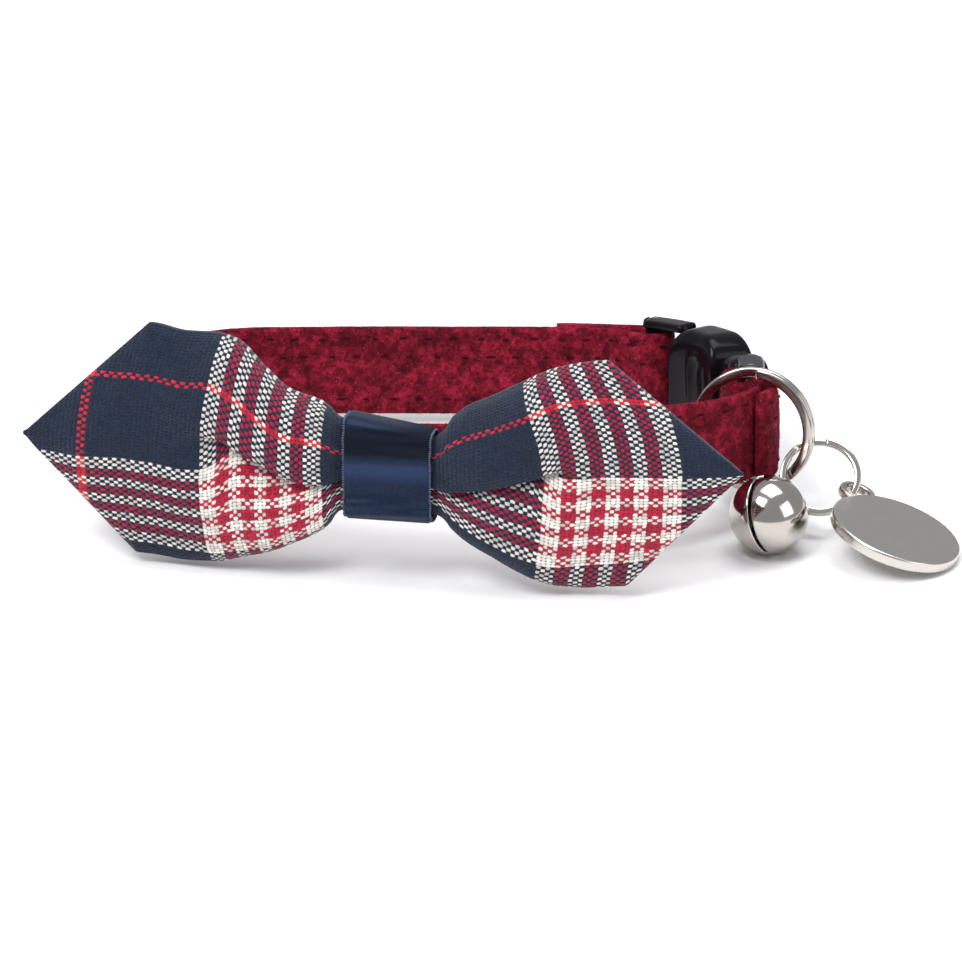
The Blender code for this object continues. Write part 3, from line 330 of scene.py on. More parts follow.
def grid_faces(rows: int, columns: int, wrap_rows: bool = False, wrap_columns: bool = False) -> np.ndarray:
    """Quads of a grid of rows x columns points, wrapped round either way if asked."""
    r = np.arange(rows if wrap_rows else rows - 1)
    c = np.arange(columns if wrap_columns else columns - 1)
    r, c = (a.ravel() for a in np.meshgrid(r, c, indexing="ij"))
    r1 = (r + 1) % rows
    c1 = (c + 1) % columns
    return np.column_stack((r * columns + c, r * columns + c1, r1 * columns + c1, r1 * columns + c))


def tube_caps(rows: int, columns: int) -> np.ndarray:
    """Quads that close both ends of a lofted tube by joining mirrored points of its end rings."""
    half = columns // 2
    i = np.arange(half - 1)
    first = np.column_stack((i + 1, i, columns - 1 - i, columns - 2 - i))
    return np.vstack((first, first[:, ::-1] + (rows - 1) * columns))


def capsules(centres: np.ndarray, ahead: np.ndarray, out: np.ndarray, length: np.ndarray, radius: np.ndarray,
             sides: int = 8, rings: int = 7) -> tuple[np.ndarray, np.ndarray]:
    """Many small capsules at once.

    Each is r(a, b) = centre + ahead * (length / 2) * cos a + across(b) * radius * sin(a)^0.6, where
    across(b) = out * cos b + side * sin b.

    Args:
        centres: (n, 3) middles.
        ahead: (n, 3) unit directions of their length.
        out: (n, 3) unit directions across it.
        length: (n,) whole lengths.
        radius: (n,) radii.
        sides: points round each.
        rings: points along each.

    Returns:
        Points and quad faces.
    """
    a = np.linspace(CAPSULE_END, math.pi - CAPSULE_END, rings)[:, None]
    b = np.linspace(0.0, TAU, sides, endpoint=False)[None, :]
    side = np.cross(ahead, out)
    along = np.cos(a) + 0 * b
    thick = np.sin(a) ** PUFF_POWER
    up = thick * np.cos(b)
    across = thick * np.sin(b)
    pts = (
        centres[:, None, None, :]
        + ahead[:, None, None, :] * (along[None, ..., None] * (length / 2)[:, None, None, None])
        + out[:, None, None, :] * (up[None, ..., None] * radius[:, None, None, None])
        + side[:, None, None, :] * (across[None, ..., None] * radius[:, None, None, None])
    )
    one = grid_faces(rings, sides, wrap_columns=True)
    faces = one[None] + (np.arange(len(centres)) * rings * sides)[:, None, None]
    return pts.reshape(-1, 3), faces.reshape(-1, 4)


def transform(matrix: Matrix, points: np.ndarray) -> np.ndarray:
    """Points moved by a 4 x 4 matrix."""
    m = np.array(matrix)
    return points @ m[:3, :3].T + m[:3, 3]


def box_centre(node: Node) -> np.ndarray:
    """Middle of a CAD node's box."""
    low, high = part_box(node.value)
    return (np.array(low) + np.array(high)) / 2


def centre_on(points: np.ndarray, node: Node) -> np.ndarray:
    """Shift that brings the box of the points onto the middle of a CAD node's box."""
    return box_centre(node) - (points.min(axis=0) + points.max(axis=0)) / 2


LOOP_TURN = Matrix.Rotation(-LOOP_TILT, 4, "X")
BOW_CENTRE = Vector((-0.010945, -0.019287, 0.012744))


# Surfaces


class Graph:
    """A material's node tree, built with short calls."""

    def __init__(self, name: str) -> None:
        self.material = bpy.data.materials.new(name)
        self.material.use_nodes = True
        self.tree = self.material.node_tree
        self.tree.nodes.clear()

    def add(self, kind: str, props: dict | None = None, **inputs) -> bpy.types.Node:
        """Add a node, set its properties, and set or link its inputs by name (spaces as _) or index (_0)."""
        node = self.tree.nodes.new(kind)
        for key, value in (props or {}).items():
            setattr(node, key, value)
        for key, value in inputs.items():
            socket = self.socket(node, key)
            if isinstance(value, bpy.types.Node):
                value = self.out(value)
            if isinstance(value, bpy.types.NodeSocket):
                self.tree.links.new(value, socket)
            else:
                socket.default_value = value
        return node

    @staticmethod
    def socket(node: bpy.types.Node, key: str) -> bpy.types.NodeSocket:
        """The input socket meant by a keyword."""
        if key.startswith("_") and key[1:].isdigit():
            return node.inputs[int(key[1:])]
        wanted = key.replace("_", " ")
        for item in node.inputs:
            if item.name == wanted and item.enabled:
                return item
        raise KeyError(f"{node.bl_idname} has no input {wanted}")

    @staticmethod
    def out(node: bpy.types.Node) -> bpy.types.NodeSocket:
        """The first enabled output of a node."""
        return next(item for item in node.outputs if item.enabled)

    def math(self, operation: str, a, b=None, c=None, clamp: bool = False) -> bpy.types.Node:
        """A Math node."""
        inputs = {"_0": a}
        if b is not None:
            inputs["_1"] = b
        if c is not None:
            inputs["_2"] = c
        return self.add("ShaderNodeMath", {"operation": operation, "use_clamp": clamp}, **inputs)

    def mix(self, factor, a, b, blend: str = "MIX") -> bpy.types.NodeSocket:
        """A colour Mix node's result."""
        node = self.tree.nodes.new("ShaderNodeMix")
        node.data_type = "RGBA"
        node.blend_type = blend
        for index, value in ((0, factor), (6, a), (7, b)):
            if isinstance(value, bpy.types.Node):
                value = self.out(value)
            if isinstance(value, bpy.types.NodeSocket):
                self.tree.links.new(value, node.inputs[index])
            else:
                node.inputs[index].default_value = value
        return node.outputs[2]

    def ramp(self, factor, stops: list[tuple], constant: bool = False) -> bpy.types.NodeSocket:
        """A colour ramp from (position, colour) stops."""
        node = self.add("ShaderNodeValToRGB", None, Fac=factor)
        ramp = node.color_ramp
        ramp.interpolation = "CONSTANT" if constant else "LINEAR"
        while len(ramp.elements) < len(stops):
            ramp.elements.new(1.0)
        for element, (position, colour) in zip(ramp.elements, stops):
            element.position = position
            element.color = (*colour, 1.0) if len(colour) == 3 else colour
        return node.outputs[0]

    def coords(self) -> bpy.types.NodeSocket:
        """Object coordinates."""
        return self.add("ShaderNodeTexCoord").outputs["Object"]

    def noise(self, scale: float, detail: float = 3.0, roughness: float = 0.5,
              vector=None) -> bpy.types.NodeSocket:
        """Noise value with a scale per metre."""
        where = vector or self.coords()
        values = {"Vector": where, "Scale": scale, "Detail": detail, "Roughness": roughness}
        return self.add("ShaderNodeTexNoise", None, **values).outputs[0]

    def range(self, value, low: float, high: float, to_low: float = 0.0,
              to_high: float = 1.0) -> bpy.types.NodeSocket:
        """Smooth map of a value from one range to another."""
        node = self.add("ShaderNodeMapRange", {"interpolation_type": "SMOOTHSTEP"}, Value=value)
        for index, number in ((1, low), (2, high), (3, to_low), (4, to_high)):
            node.inputs[index].default_value = number
        return node.outputs[0]

    def bump(self, height, distance: float, strength: float = 1.0, normal=None) -> bpy.types.NodeSocket:
        """Bump normal of a height."""
        inputs = {"Height": height, "Distance": distance, "Strength": strength}
        if normal is not None:
            inputs["Normal"] = normal
        return self.add("ShaderNodeBump", None, **inputs).outputs[0]

    def finish(self, **inputs) -> bpy.types.Material:
        """The Principled shader and output."""
        shader = self.add("ShaderNodeBsdfPrincipled", None, **inputs)
        self.add("ShaderNodeOutputMaterial", None, Surface=shader)
        return self.material


def grey(value: float) -> tuple[float, float, float, float]:
    """A grey as a colour."""
    return (value, value, value, 1.0)


def darker(colour: tuple, share: float) -> tuple[float, float, float, float]:
    """A colour at a share of its strength."""
    return (*(part * share for part in colour[:3]), 1.0)


@dataclass(frozen=True)
class TartanFinish:
    """Plain-woven tartan: thread colours by thread number, and the over and under of each crossing.

    The map gives thread numbers: u counts the upright threads, v the level ones. A crossing shows
    its upright thread where u + v is even. Each visible thread is an ellipse with painted shade in the gap
    round it.
    """

    cream: tuple = (0.84, 0.79, 0.72)
    red: tuple = (0.43, 0.006, 0.036)
    thin_red: tuple = (0.58, 0.010, 0.030)
    navy: tuple = (0.0038, 0.0115, 0.034)
    group: tuple = (4, 3, 3, 3, 3, 3, 3, 3, 4)
    navy_width: int = 25
    thin_width: int = 2
    wander: float = 1.15
    long_half: float = 0.63
    short_half: float = 0.49
    edge_power: float = 2.2
    fibre_scale: float = 9000.0
    under_shade: float = 0.26
    see_through: float = 0.20

    def sett(self, graph: Graph, index) -> bpy.types.NodeSocket:
        """Thread colour of a thread number."""
        navy = (self.navy_width, self.navy)
        pale_and_red = (self.cream, self.red)
        bands = [(width, pale_and_red[order % 2]) for order, width in enumerate(self.group)]
        bands += [navy, (self.thin_width, self.thin_red), navy]
        repeat = sum(width for width, _ in bands)
        stops = []
        at = 0
        for width, colour in bands:
            stops.append((at / repeat, colour))
            at += width
        share = graph.math("DIVIDE", graph.math("ADD", index, 0.5), float(repeat))
        return graph.ramp(graph.math("FLOORED_MODULO", share, 1.0), stops, constant=True)

    def build(self) -> bpy.types.Material:
        """The material."""
        g = Graph("tartan")
        uv = g.add("ShaderNodeUVMap", {"uv_map": "threads"})
        split = g.add("ShaderNodeSeparateXYZ", None, Vector=uv)
        other = g.add("ShaderNodeVectorMath", {"operation": "ADD"}, _0=g.coords(), _1=(3.0, 5.0, 7.0))
        warp_u = g.math("MULTIPLY", g.math("SUBTRACT", g.noise(700.0, 4.0, 0.75), 0.5), self.wander)
        warp_v = g.math("MULTIPLY", g.math("SUBTRACT", g.noise(640.0, 4.0, 0.75, other), 0.5), self.wander)
        u = g.math("ADD", split.outputs[0], warp_u)
        v = g.math("ADD", split.outputs[1], warp_v)
        iu, iv = g.math("FLOOR", u), g.math("FLOOR", v)
        fu = g.math("SUBTRACT", g.math("SUBTRACT", u, iu), 0.5)
        fv = g.math("SUBTRACT", g.math("SUBTRACT", v, iv), 0.5)
        level_over = g.math("FLOORED_MODULO", g.math("ADD", iu, iv), 2.0)
        upright = self.sett(g, iu)
        level = self.sett(g, iv)
        top = g.mix(level_over, upright, level)
        under = g.mix(level_over, level, upright)
        top = g.mix(self.see_through, top, under, "DARKEN")

        def ellipse(half_u: float, half_v: float) -> bpy.types.Node:
            """Height of an elliptical thread crossing."""
            a = g.math("POWER", g.math("ABSOLUTE", g.math("DIVIDE", fu, half_u)), self.edge_power)
            b = g.math("POWER", g.math("ABSOLUTE", g.math("DIVIDE", fv, half_v)), self.edge_power)
            return g.math("SQRT", g.math("SUBTRACT", 1.0, g.math("ADD", a, b), clamp=True))

        upright_crossing = ellipse(self.short_half, self.long_half)
        height = g.mix(level_over, upright_crossing, ellipse(self.long_half, self.short_half))
        fibre = g.noise(self.fibre_scale, 2.0)
        cell = g.add("ShaderNodeCombineXYZ", None, X=iu, Y=iv)
        chance = g.add("ShaderNodeTexWhiteNoise", {"noise_dimensions": "3D"}, Vector=cell)
        shade = g.math("ADD", 0.66, g.math("MULTIPLY", chance, 0.50))
        heather = g.range(fibre, 0.50, 0.74)
        tone = g.add("ShaderNodeCombineColor", None, Red=shade, Green=shade, Blue=shade)
        colour = g.mix(1.0, top, tone, "MULTIPLY")
        fleck = g.mix(1.0, colour, (0.014, 0.023, 0.038, 1.0), "ADD")
        colour = g.mix(heather, colour, fleck)
        frayed = g.math("ADD", height, g.math("MULTIPLY", g.math("SUBTRACT", fibre, 0.5), 0.9))
        # Painted shade: in the gap round each thread, the under thread is darkened to under_shade of its
        # colour.
        gap = g.range(frayed, 0.05, 0.60)
        dark = g.mix(1.0, under, grey(self.under_shade), "MULTIPLY")
        colour = g.mix(gap, dark, colour)
        twist = g.math("MULTIPLY", fibre, 0.35)
        relief = g.math("ADD", g.range(height, 0.0, 1.0), twist)
        normal = g.bump(relief, 0.00011, 0.9)
        return g.finish(
            Base_Color=colour, Roughness=0.82, Normal=normal, Sheen_Weight=0.12, Sheen_Roughness=0.5,
            Specular_IOR_Level=0.25,
        )


@dataclass(frozen=True)
class VelvetFinish:
    """Crimson velvet: a crushed, blotchy pile with a rim sheen and fine sparkles, which are glossier spots
    with a painted glint in their colour.
    """

    base: tuple = (0.150, 0.0045, 0.0150, 1.0)
    light: tuple = (0.31, 0.011, 0.036, 1.0)
    dark: tuple = (0.038, 0.0015, 0.0045, 1.0)
    painted_glint: tuple = (0.70, 0.12, 0.17, 1.0)
    patch_scale: float = 190.0
    blotch_scale: float = 760.0
    crushed_scale: float = 2100.0
    glint_scale: float = 3600.0
    speck_scale: float = 5200.0
    pile_depth: float = 0.00035

    def build(self) -> bpy.types.Material:
        """The material."""
        g = Graph("velvet")
        blotch = g.noise(self.blotch_scale, 5.0, 0.72)
        patch = g.noise(self.patch_scale, 2.0, 0.5)
        speck = g.noise(self.speck_scale, 2.0, 0.7)
        crushed = g.noise(self.crushed_scale, 3.0, 0.75)
        colour = g.mix(g.range(blotch, 0.44, 0.62), self.base, self.light)
        colour = g.mix(g.range(blotch, 0.48, 0.33, 0.0, 0.8), colour, self.dark)
        colour = g.mix(g.range(crushed, 0.52, 0.36, 0.0, 0.75), colour, self.dark)
        colour = g.mix(g.range(patch, 0.55, 0.35, 0.0, 0.35), colour, self.dark)
        colour = g.mix(g.range(speck, 0.40, 0.25, 0.0, 0.7), colour, self.dark)
        cells = g.add("ShaderNodeTexVoronoi", {"feature": "F1"}, Vector=g.coords(), Scale=self.glint_scale)
        chance = g.range(g.add("ShaderNodeSeparateColor", None, Color=cells.outputs["Color"]), 0.90, 0.97)
        spark = g.math("MULTIPLY", g.range(cells.outputs["Distance"], 0.42, 0.20), chance)
        # Painted glint: a pale pink is mixed into the base colour at the sparkles.
        colour = g.mix(g.math("MULTIPLY", spark, 0.22), colour, self.painted_glint)
        rough = g.math("SUBTRACT", 0.85, g.math("MULTIPLY", spark, 0.5))
        relief = g.math("ADD", blotch, g.math("MULTIPLY", speck, 0.35))
        normal = g.bump(relief, self.pile_depth, 0.8)
        return g.finish(
            Base_Color=colour, Roughness=rough, Normal=normal, Sheen_Weight=0.16, Sheen_Roughness=0.35,
            Sheen_Tint=(0.80, 0.05, 0.12, 1.0), Specular_IOR_Level=0.12,
        )


@dataclass(frozen=True)
class SatinFinish:
    """Navy satin ribbon: fine ribs, a painted bluish highlight on its ridge and painted shade in the hollow
    above it.

    The map's u is the height over the bow's middle in millimetres, and its v counts the ribs.
    """

    dark: tuple = (0.0030, 0.0070, 0.020, 1.0)
    light: tuple = (0.0055, 0.012, 0.032, 1.0)
    # Painted highlight colour for the ridge, and painted shade colour for the hollow above it.
    ridge_painted_highlight: tuple = (0.017, 0.032, 0.085, 1.0)
    hollow: tuple = (0.0006, 0.0008, 0.0016, 1.0)
    tint: tuple = (0.55, 0.68, 1.0, 1.0)
    grain_scale: float = 3000.0
    rib_depth: float = 0.00002

    def build(self) -> bpy.types.Material:
        """The material."""
        g = Graph("satin")
        uv = g.add("ShaderNodeUVMap", {"uv_map": "threads"})
        split = g.add("ShaderNodeSeparateXYZ", None, Vector=uv)
        ribs = g.math("SINE", g.math("MULTIPLY", split.outputs[1], TAU))
        fine = g.noise(self.grain_scale, 2.0)
        relief = g.math("ADD", g.math("MULTIPLY", ribs, 0.5), fine)
        colour = g.mix(g.range(fine, 0.35, 0.70), self.dark, self.light)
        height = split.outputs[0]
        # Painted shade over the hollow and a painted highlight on the ridge, both masked by height; the masks
        # also change the roughness.
        hollow = g.math("MULTIPLY", g.range(height, 1.3, 2.4), g.range(height, 5.3, 4.5))
        ridge_painted_highlight = g.math("MULTIPLY", g.range(height, -1.4, 0.3), g.range(height, 1.5, 0.7))
        colour = g.mix(g.math("MULTIPLY", ridge_painted_highlight, 0.75), colour, self.ridge_painted_highlight)
        colour = g.mix(g.math("MULTIPLY", hollow, 0.9), colour, self.hollow)
        rough = g.math("SUBTRACT", 0.42, g.math("MULTIPLY", ridge_painted_highlight, 0.08))
        rough = g.math("ADD", rough, g.math("MULTIPLY", hollow, 0.38))
        normal = g.bump(relief, self.rib_depth, 0.7)
        return g.finish(
            Base_Color=colour, Roughness=rough, Normal=normal, Specular_IOR_Level=0.26,
            Specular_Tint=self.tint, Sheen_Weight=0.05, Sheen_Tint=(0.30, 0.42, 0.85, 1.0),
        )


@dataclass(frozen=True)
class PlasticFinish:
    """Glossy black moulded plastic with faint scuffs."""

    name: str = "plastic"
    dark: tuple = (0.0035, 0.0030, 0.0042, 1.0)
    light: tuple = (0.0065, 0.0055, 0.0070, 1.0)
    mottle_scale: float = 900.0
    grain_scale: float = 6000.0
    edge: float = 0.00028

    def build(self) -> bpy.types.Material:
        """The material."""
        g = Graph(self.name)
        mottle = g.noise(self.mottle_scale, 4.0)
        rough = g.range(mottle, 0.3, 0.8, 0.10, 0.24)
        grain = g.noise(self.grain_scale, 2.0)
        edge = g.add("ShaderNodeBevel", {"samples": 6}, Radius=self.edge)
        normal = g.bump(grain, 0.000006, 0.5, edge.outputs[0])
        colour = g.mix(mottle, self.dark, self.light)
        return g.finish(Base_Color=colour, Roughness=rough, Normal=normal, Specular_IOR_Level=0.13)


@dataclass(frozen=True)
class NickelFinish:
    """Warm nickel plate: polished or brushed, with fine wear."""

    name: str = "nickel"
    colour: tuple = (0.52, 0.485, 0.445, 1.0)
    rough: float = 0.14
    brushed: float = 0.0
    edge: float = 0.00006
    cloud_scale: float = 700.0
    line_scale: float = 2600.0

    def build(self) -> bpy.types.Material:
        """The material."""
        g = Graph(self.name)
        cloud = g.noise(self.cloud_scale, 4.0, 0.6)
        stretched = g.add("ShaderNodeMapping", None, Vector=g.coords(), Scale=(1.0, 14.0, 1.0))
        lines = g.noise(self.line_scale, 3.0, 0.6, stretched)
        rough = g.math("ADD", g.range(cloud, 0.3, 0.8, self.rough * 0.88, self.rough * 1.18),
                       g.math("MULTIPLY", lines, 0.10 * self.brushed))
        tone = g.mix(g.range(cloud, 0.35, 0.75, 0.0, 0.16), self.colour, darker(self.colour, 0.78))
        edge = g.add("ShaderNodeBevel", {"samples": 4}, Radius=self.edge)
        relief = g.math("ADD", g.math("MULTIPLY", cloud, 0.03), g.math("MULTIPLY", lines, self.brushed))
        normal = g.bump(relief, 0.000010, 0.35 + 0.4 * self.brushed, edge.outputs[0])
        return g.finish(Base_Color=tone, Metallic=1.0, Roughness=rough, Normal=normal)


@dataclass(frozen=True)
class ThreadFinish:
    """Sewing thread in one colour, with its twist."""

    name: str
    colour: tuple
    rough: float = 0.6

    def build(self) -> bpy.types.Material:
        """The material."""
        g = Graph(self.name)
        twist = g.noise(7000.0, 2.0)
        colour = g.mix(twist, self.colour, darker(self.colour, 0.55))
        normal = g.bump(twist, 0.00003, 0.8)
        return g.finish(Base_Color=colour, Roughness=self.rough, Normal=normal, Specular_IOR_Level=0.15)


# Pieces


@dataclass
class Piece:
    """A visible piece: its name, the CAD nodes it stands for, its slot and finish."""

    name: str
    slot: Slot
    finish: object
    nodes: tuple[Node, ...] = ()

    def add(self, name: str, mesh: bpy.types.Mesh, material: bpy.types.Material,
            stands_for: bool = False) -> None:
        """Make the object of a mesh, and tie it to the frame.

        Args:
            name: name of the object.
            mesh: its mesh.
            material: its only material.
            stands_for: whether it replaces the piece's CAD nodes.
        """
        made = bpy.data.objects.new(name, mesh)
        bpy.context.scene.collection.objects.link(made)
        mesh.materials.clear()
        mesh.materials.append(material)
        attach(made, "root")
        if stands_for:
            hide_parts(*[node.value for node in self.nodes])
        log.info("%s: %d points, %d faces", name, len(mesh.vertices), len(mesh.polygons))


class StrapPath:
    """The strap's centre line in the loop's plane, with its folds round the buckle bars."""

    def __init__(self) -> None:
        table = ROUTE * np.array((LOOP_WIDTH, LOOP_DEPTH, STRAP_WIDTH))
        rear = table[-2:]
        heading = math.atan2(rear[1, 1] - rear[0, 1], rear[1, 0] - rear[0, 0]) - BUCKLE_TURN_IN
        self.start = table[-1, :2]
        self.heading = heading
        self.centre = self.start - np.array([-math.sin(heading), math.cos(heading)]) * BUCKLE_RADIUS
        male = self.buckle(BUCKLE_SPAN, 0.0)
        leave = self.buckle(BUCKLE_SPAN + FOLD_SPREAD, 0.0)
        first = np.array([[*male, 0.0], [*leave, 0.0]])
        curve = centripetal(np.vstack((first, table)), 40)
        self.route = resample(curve, int(arc_lengths(curve)[-1] / ROUTE_STEP))
        self.line = self.fold()

    def buckle(self, along: float, outward: float) -> np.ndarray:
        """Plan point at a length along the buckle's arc and a distance outward from it."""
        turned = self.heading - along / BUCKLE_RADIUS
        return self.centre + np.array([-math.sin(turned), math.cos(turned)]) * (BUCKLE_RADIUS + outward)

    def fold(self) -> np.ndarray:
        """The whole line from one folded-back end to the other."""
        route = self.route
        side = plan_normals(route)
        lengths = arc_lengths(route)
        turn = BAR_THICKNESS / math.sqrt(2) + CLEARANCE / 2 + STRAP_THICKNESS / 2
        near = np.minimum(lengths, lengths[-1] - lengths)
        fade = np.clip(1.0 - near / FOLD_SPREAD, 0.0, 1.0)
        fade = (fade * fade * (3.0 - 2.0 * fade))[:, None]
        main = route.copy()
        main[:, :2] += side * turn * fade
        back = route.copy()
        back[:, :2] -= side * (turn * fade + (STRAP_THICKNESS + CLEARANCE) * (1.0 - fade))
        head = near <= FOLD_LENGTH
        at_start = head & (lengths < lengths[-1] / 2)
        at_end = head & (lengths > lengths[-1] / 2)
        away = route[0, :2] - route[1, :2]
        ahead = route[-1, :2] - route[-2, :2]
        turns = []
        for centre, begin, towards in (
            (route[0, :2], -side[0], away / np.linalg.norm(away)),
            (route[-1, :2], side[-1], ahead / np.linalg.norm(ahead)),
        ):
            a = np.linspace(0.0, math.pi, 25)[1:-1, None]
            arc = centre + turn * (begin * np.cos(a) + towards * np.sin(a))
            turns.append(np.column_stack((arc, np.zeros(len(arc)))))
        line = np.vstack((back[at_start][::-1], turns[0], main, turns[1], back[at_end][::-1]))
        return resample(line, int(arc_lengths(line)[-1] / LINE_STEP))


def plan_normals(points: np.ndarray) -> np.ndarray:
    """Unit normals in plan, to the right of the direction of travel, which is the loop's inner side."""
    ahead = np.gradient(points[:, :2], axis=0)
    ahead /= np.linalg.norm(ahead, axis=1)[:, None]
    return np.column_stack((ahead[:, 1], -ahead[:, 0]))


@dataclass
class Strap(Piece):
    """The velvet strap with its pile and its stitches."""

    path: StrapPath | None = None
    shift: np.ndarray | None = None
    around: int = 56
    hairs: int = 120000
    hair_lean: float = 0.45
    hair_width: float = 0.00002
    hair_root: float = 0.00004
    hair_lengths: tuple = (0.00012, 0.00030)
    stitch_rows: tuple = (
        (0.0088, 1, 0.3), (0.0067, 1, 0.7), (0.0018, 1, 0.0),
        (0.0088, -1, 0.5), (0.0018, -1, 0.1),
    )
    stitch_pitch: float = 0.003
    stitch_lengths: tuple = (0.0006, 0.0010)
    stitch_radius: float = 0.00013

    def section(self) -> np.ndarray:
        """Rounded flat section, (across, up) from its low inner corner round.

        It is a superellipse with flat sides.
        """
        a = np.linspace(0.0, TAU, self.around, endpoint=False) + math.pi / self.around
        c, s = np.cos(a), np.sin(a)
        half = STRAP_THICKNESS / 2
        soft = 0.55 * half
        n = np.sign(c) * ((half - soft) * np.minimum(1.0, 2.2 * np.abs(c)) + soft * np.abs(c) ** 0.5)
        rise = (STRAP_WIDTH / 2 - soft) * np.abs(np.clip(s * 1.02, -1, 1)) ** 0.9
        z = np.sign(s) * (rise + soft * np.abs(s) ** 0.6)
        return np.column_stack((n, z + STRAP_WIDTH / 2))

    def build(self) -> None:
        """Carry the section along the path: p = line + side * n + up * z, and ripple the cloth a little."""
        line = self.path.line
        side = plan_normals(line)
        section = self.section()
        pts = np.empty((len(line), len(section), 3))
        pts[..., 0] = line[:, None, 0] + side[:, None, 0] * section[None, :, 0]
        pts[..., 1] = line[:, None, 1] + side[:, None, 1] * section[None, :, 0]
        pts[..., 2] = line[:, None, 2] + section[None, :, 1]
        flat = pts.reshape(-1, 3)
        ripple = wave_noise(flat, 0.009, SEED) * 0.00006 + wave_noise(flat, 0.0016, SEED + 1) * 0.000025
        out = np.repeat(side, len(section), axis=0) * np.sign(np.tile(section[:, 0], len(line)))[:, None]
        flat[:, :2] += out * ripple[:, None]
        turned = transform(LOOP_TURN, flat)
        self.shift = centre_on(turned, Node.STRAP)
        turned += self.shift
        faces = np.vstack((
            grid_faces(len(line), len(section), wrap_columns=True), tube_caps(len(line), len(section))
        ))
        mesh = make_mesh("strap_velvet", turned, faces)
        velvet = self.finish.build()
        self.add("strap_velvet", mesh, velvet, stands_for=True)
        self.pile(turned.reshape(len(line), len(section), 3), velvet)
        self.stitches(line, side)

    def pile(self, grid: np.ndarray, material: bpy.types.Material) -> None:
        """Short upright hairs over the whole strap, each one narrow triangle leaning at random."""
        rng = np.random.default_rng(SEED + 2)
        count = self.hairs
        r = rng.integers(0, grid.shape[0] - 1, count)
        c = rng.integers(0, grid.shape[1], count)
        c1 = (c + 1) % grid.shape[1]
        s, t = rng.random((2, count, 1))
        a, b, d = grid[r, c], grid[r, c1], grid[r + 1, c]
        base = a + (b - a) * s + (d - a) * t
        normal = np.cross(b - a, d - a)
        normal /= np.linalg.norm(normal, axis=1)[:, None] + 1e-12
        middle = grid.mean(axis=1)[r]
        flip = np.sign(((base - middle) * normal).sum(axis=1))[:, None]
        normal *= flip
        tip = normal + rng.normal(size=(count, 3)) * self.hair_lean
        tip /= np.linalg.norm(tip, axis=1)[:, None]
        length = rng.uniform(*self.hair_lengths, (count, 1))
        across = np.cross(tip, rng.normal(size=(count, 3)))
        across /= np.linalg.norm(across, axis=1)[:, None]
        half = across * self.hair_width
        root = base - normal * self.hair_root
        verts = np.stack((root - half, root + half, root + tip * length), axis=1).reshape(-1, 3)
        faces = np.arange(count * 3).reshape(-1, 3)
        self.add("strap_pile", make_mesh("strap_pile", verts, faces, smooth=False), material)

    def stitches(self, line: np.ndarray, side: np.ndarray) -> None:
        """Rows of short sewing stitches along both faces of the strap, sunk in the pile."""
        rng = np.random.default_rng(SEED + 3)
        lengths = arc_lengths(line)
        tangent = np.gradient(line, axis=0)
        tangent /= np.linalg.norm(tangent, axis=1)[:, None]
        found = []
        for height, face, phase in self.stitch_rows:
            places = np.arange(phase * self.stitch_pitch, lengths[-1], self.stitch_pitch)
            places = places + rng.normal(size=len(places)) * 0.0001
            index = np.clip(np.searchsorted(lengths, places), 0, len(line) - 1)
            centre = line[index].copy()
            centre[:, 2] += height + rng.normal(size=len(index)) * 0.00005
            out = np.column_stack((side[index] * face, np.zeros(len(index))))
            centre += out * (STRAP_THICKNESS / 2 + 0.00003)
            found.append((centre, tangent[index], out))
        centre, ahead, out = (np.vstack(parts) for parts in zip(*found))
        count = len(centre)
        length = rng.uniform(*self.stitch_lengths, count)
        pts, faces = capsules(centre, ahead, out, length, np.full(count, self.stitch_radius))
        pts = transform(LOOP_TURN, pts) + self.shift
        thread = ThreadFinish("stitch_thread", (0.030, 0.0010, 0.0030, 1.0), 0.9).build()
        self.add("strap_stitches", make_mesh("strap_stitches", pts, faces), thread)


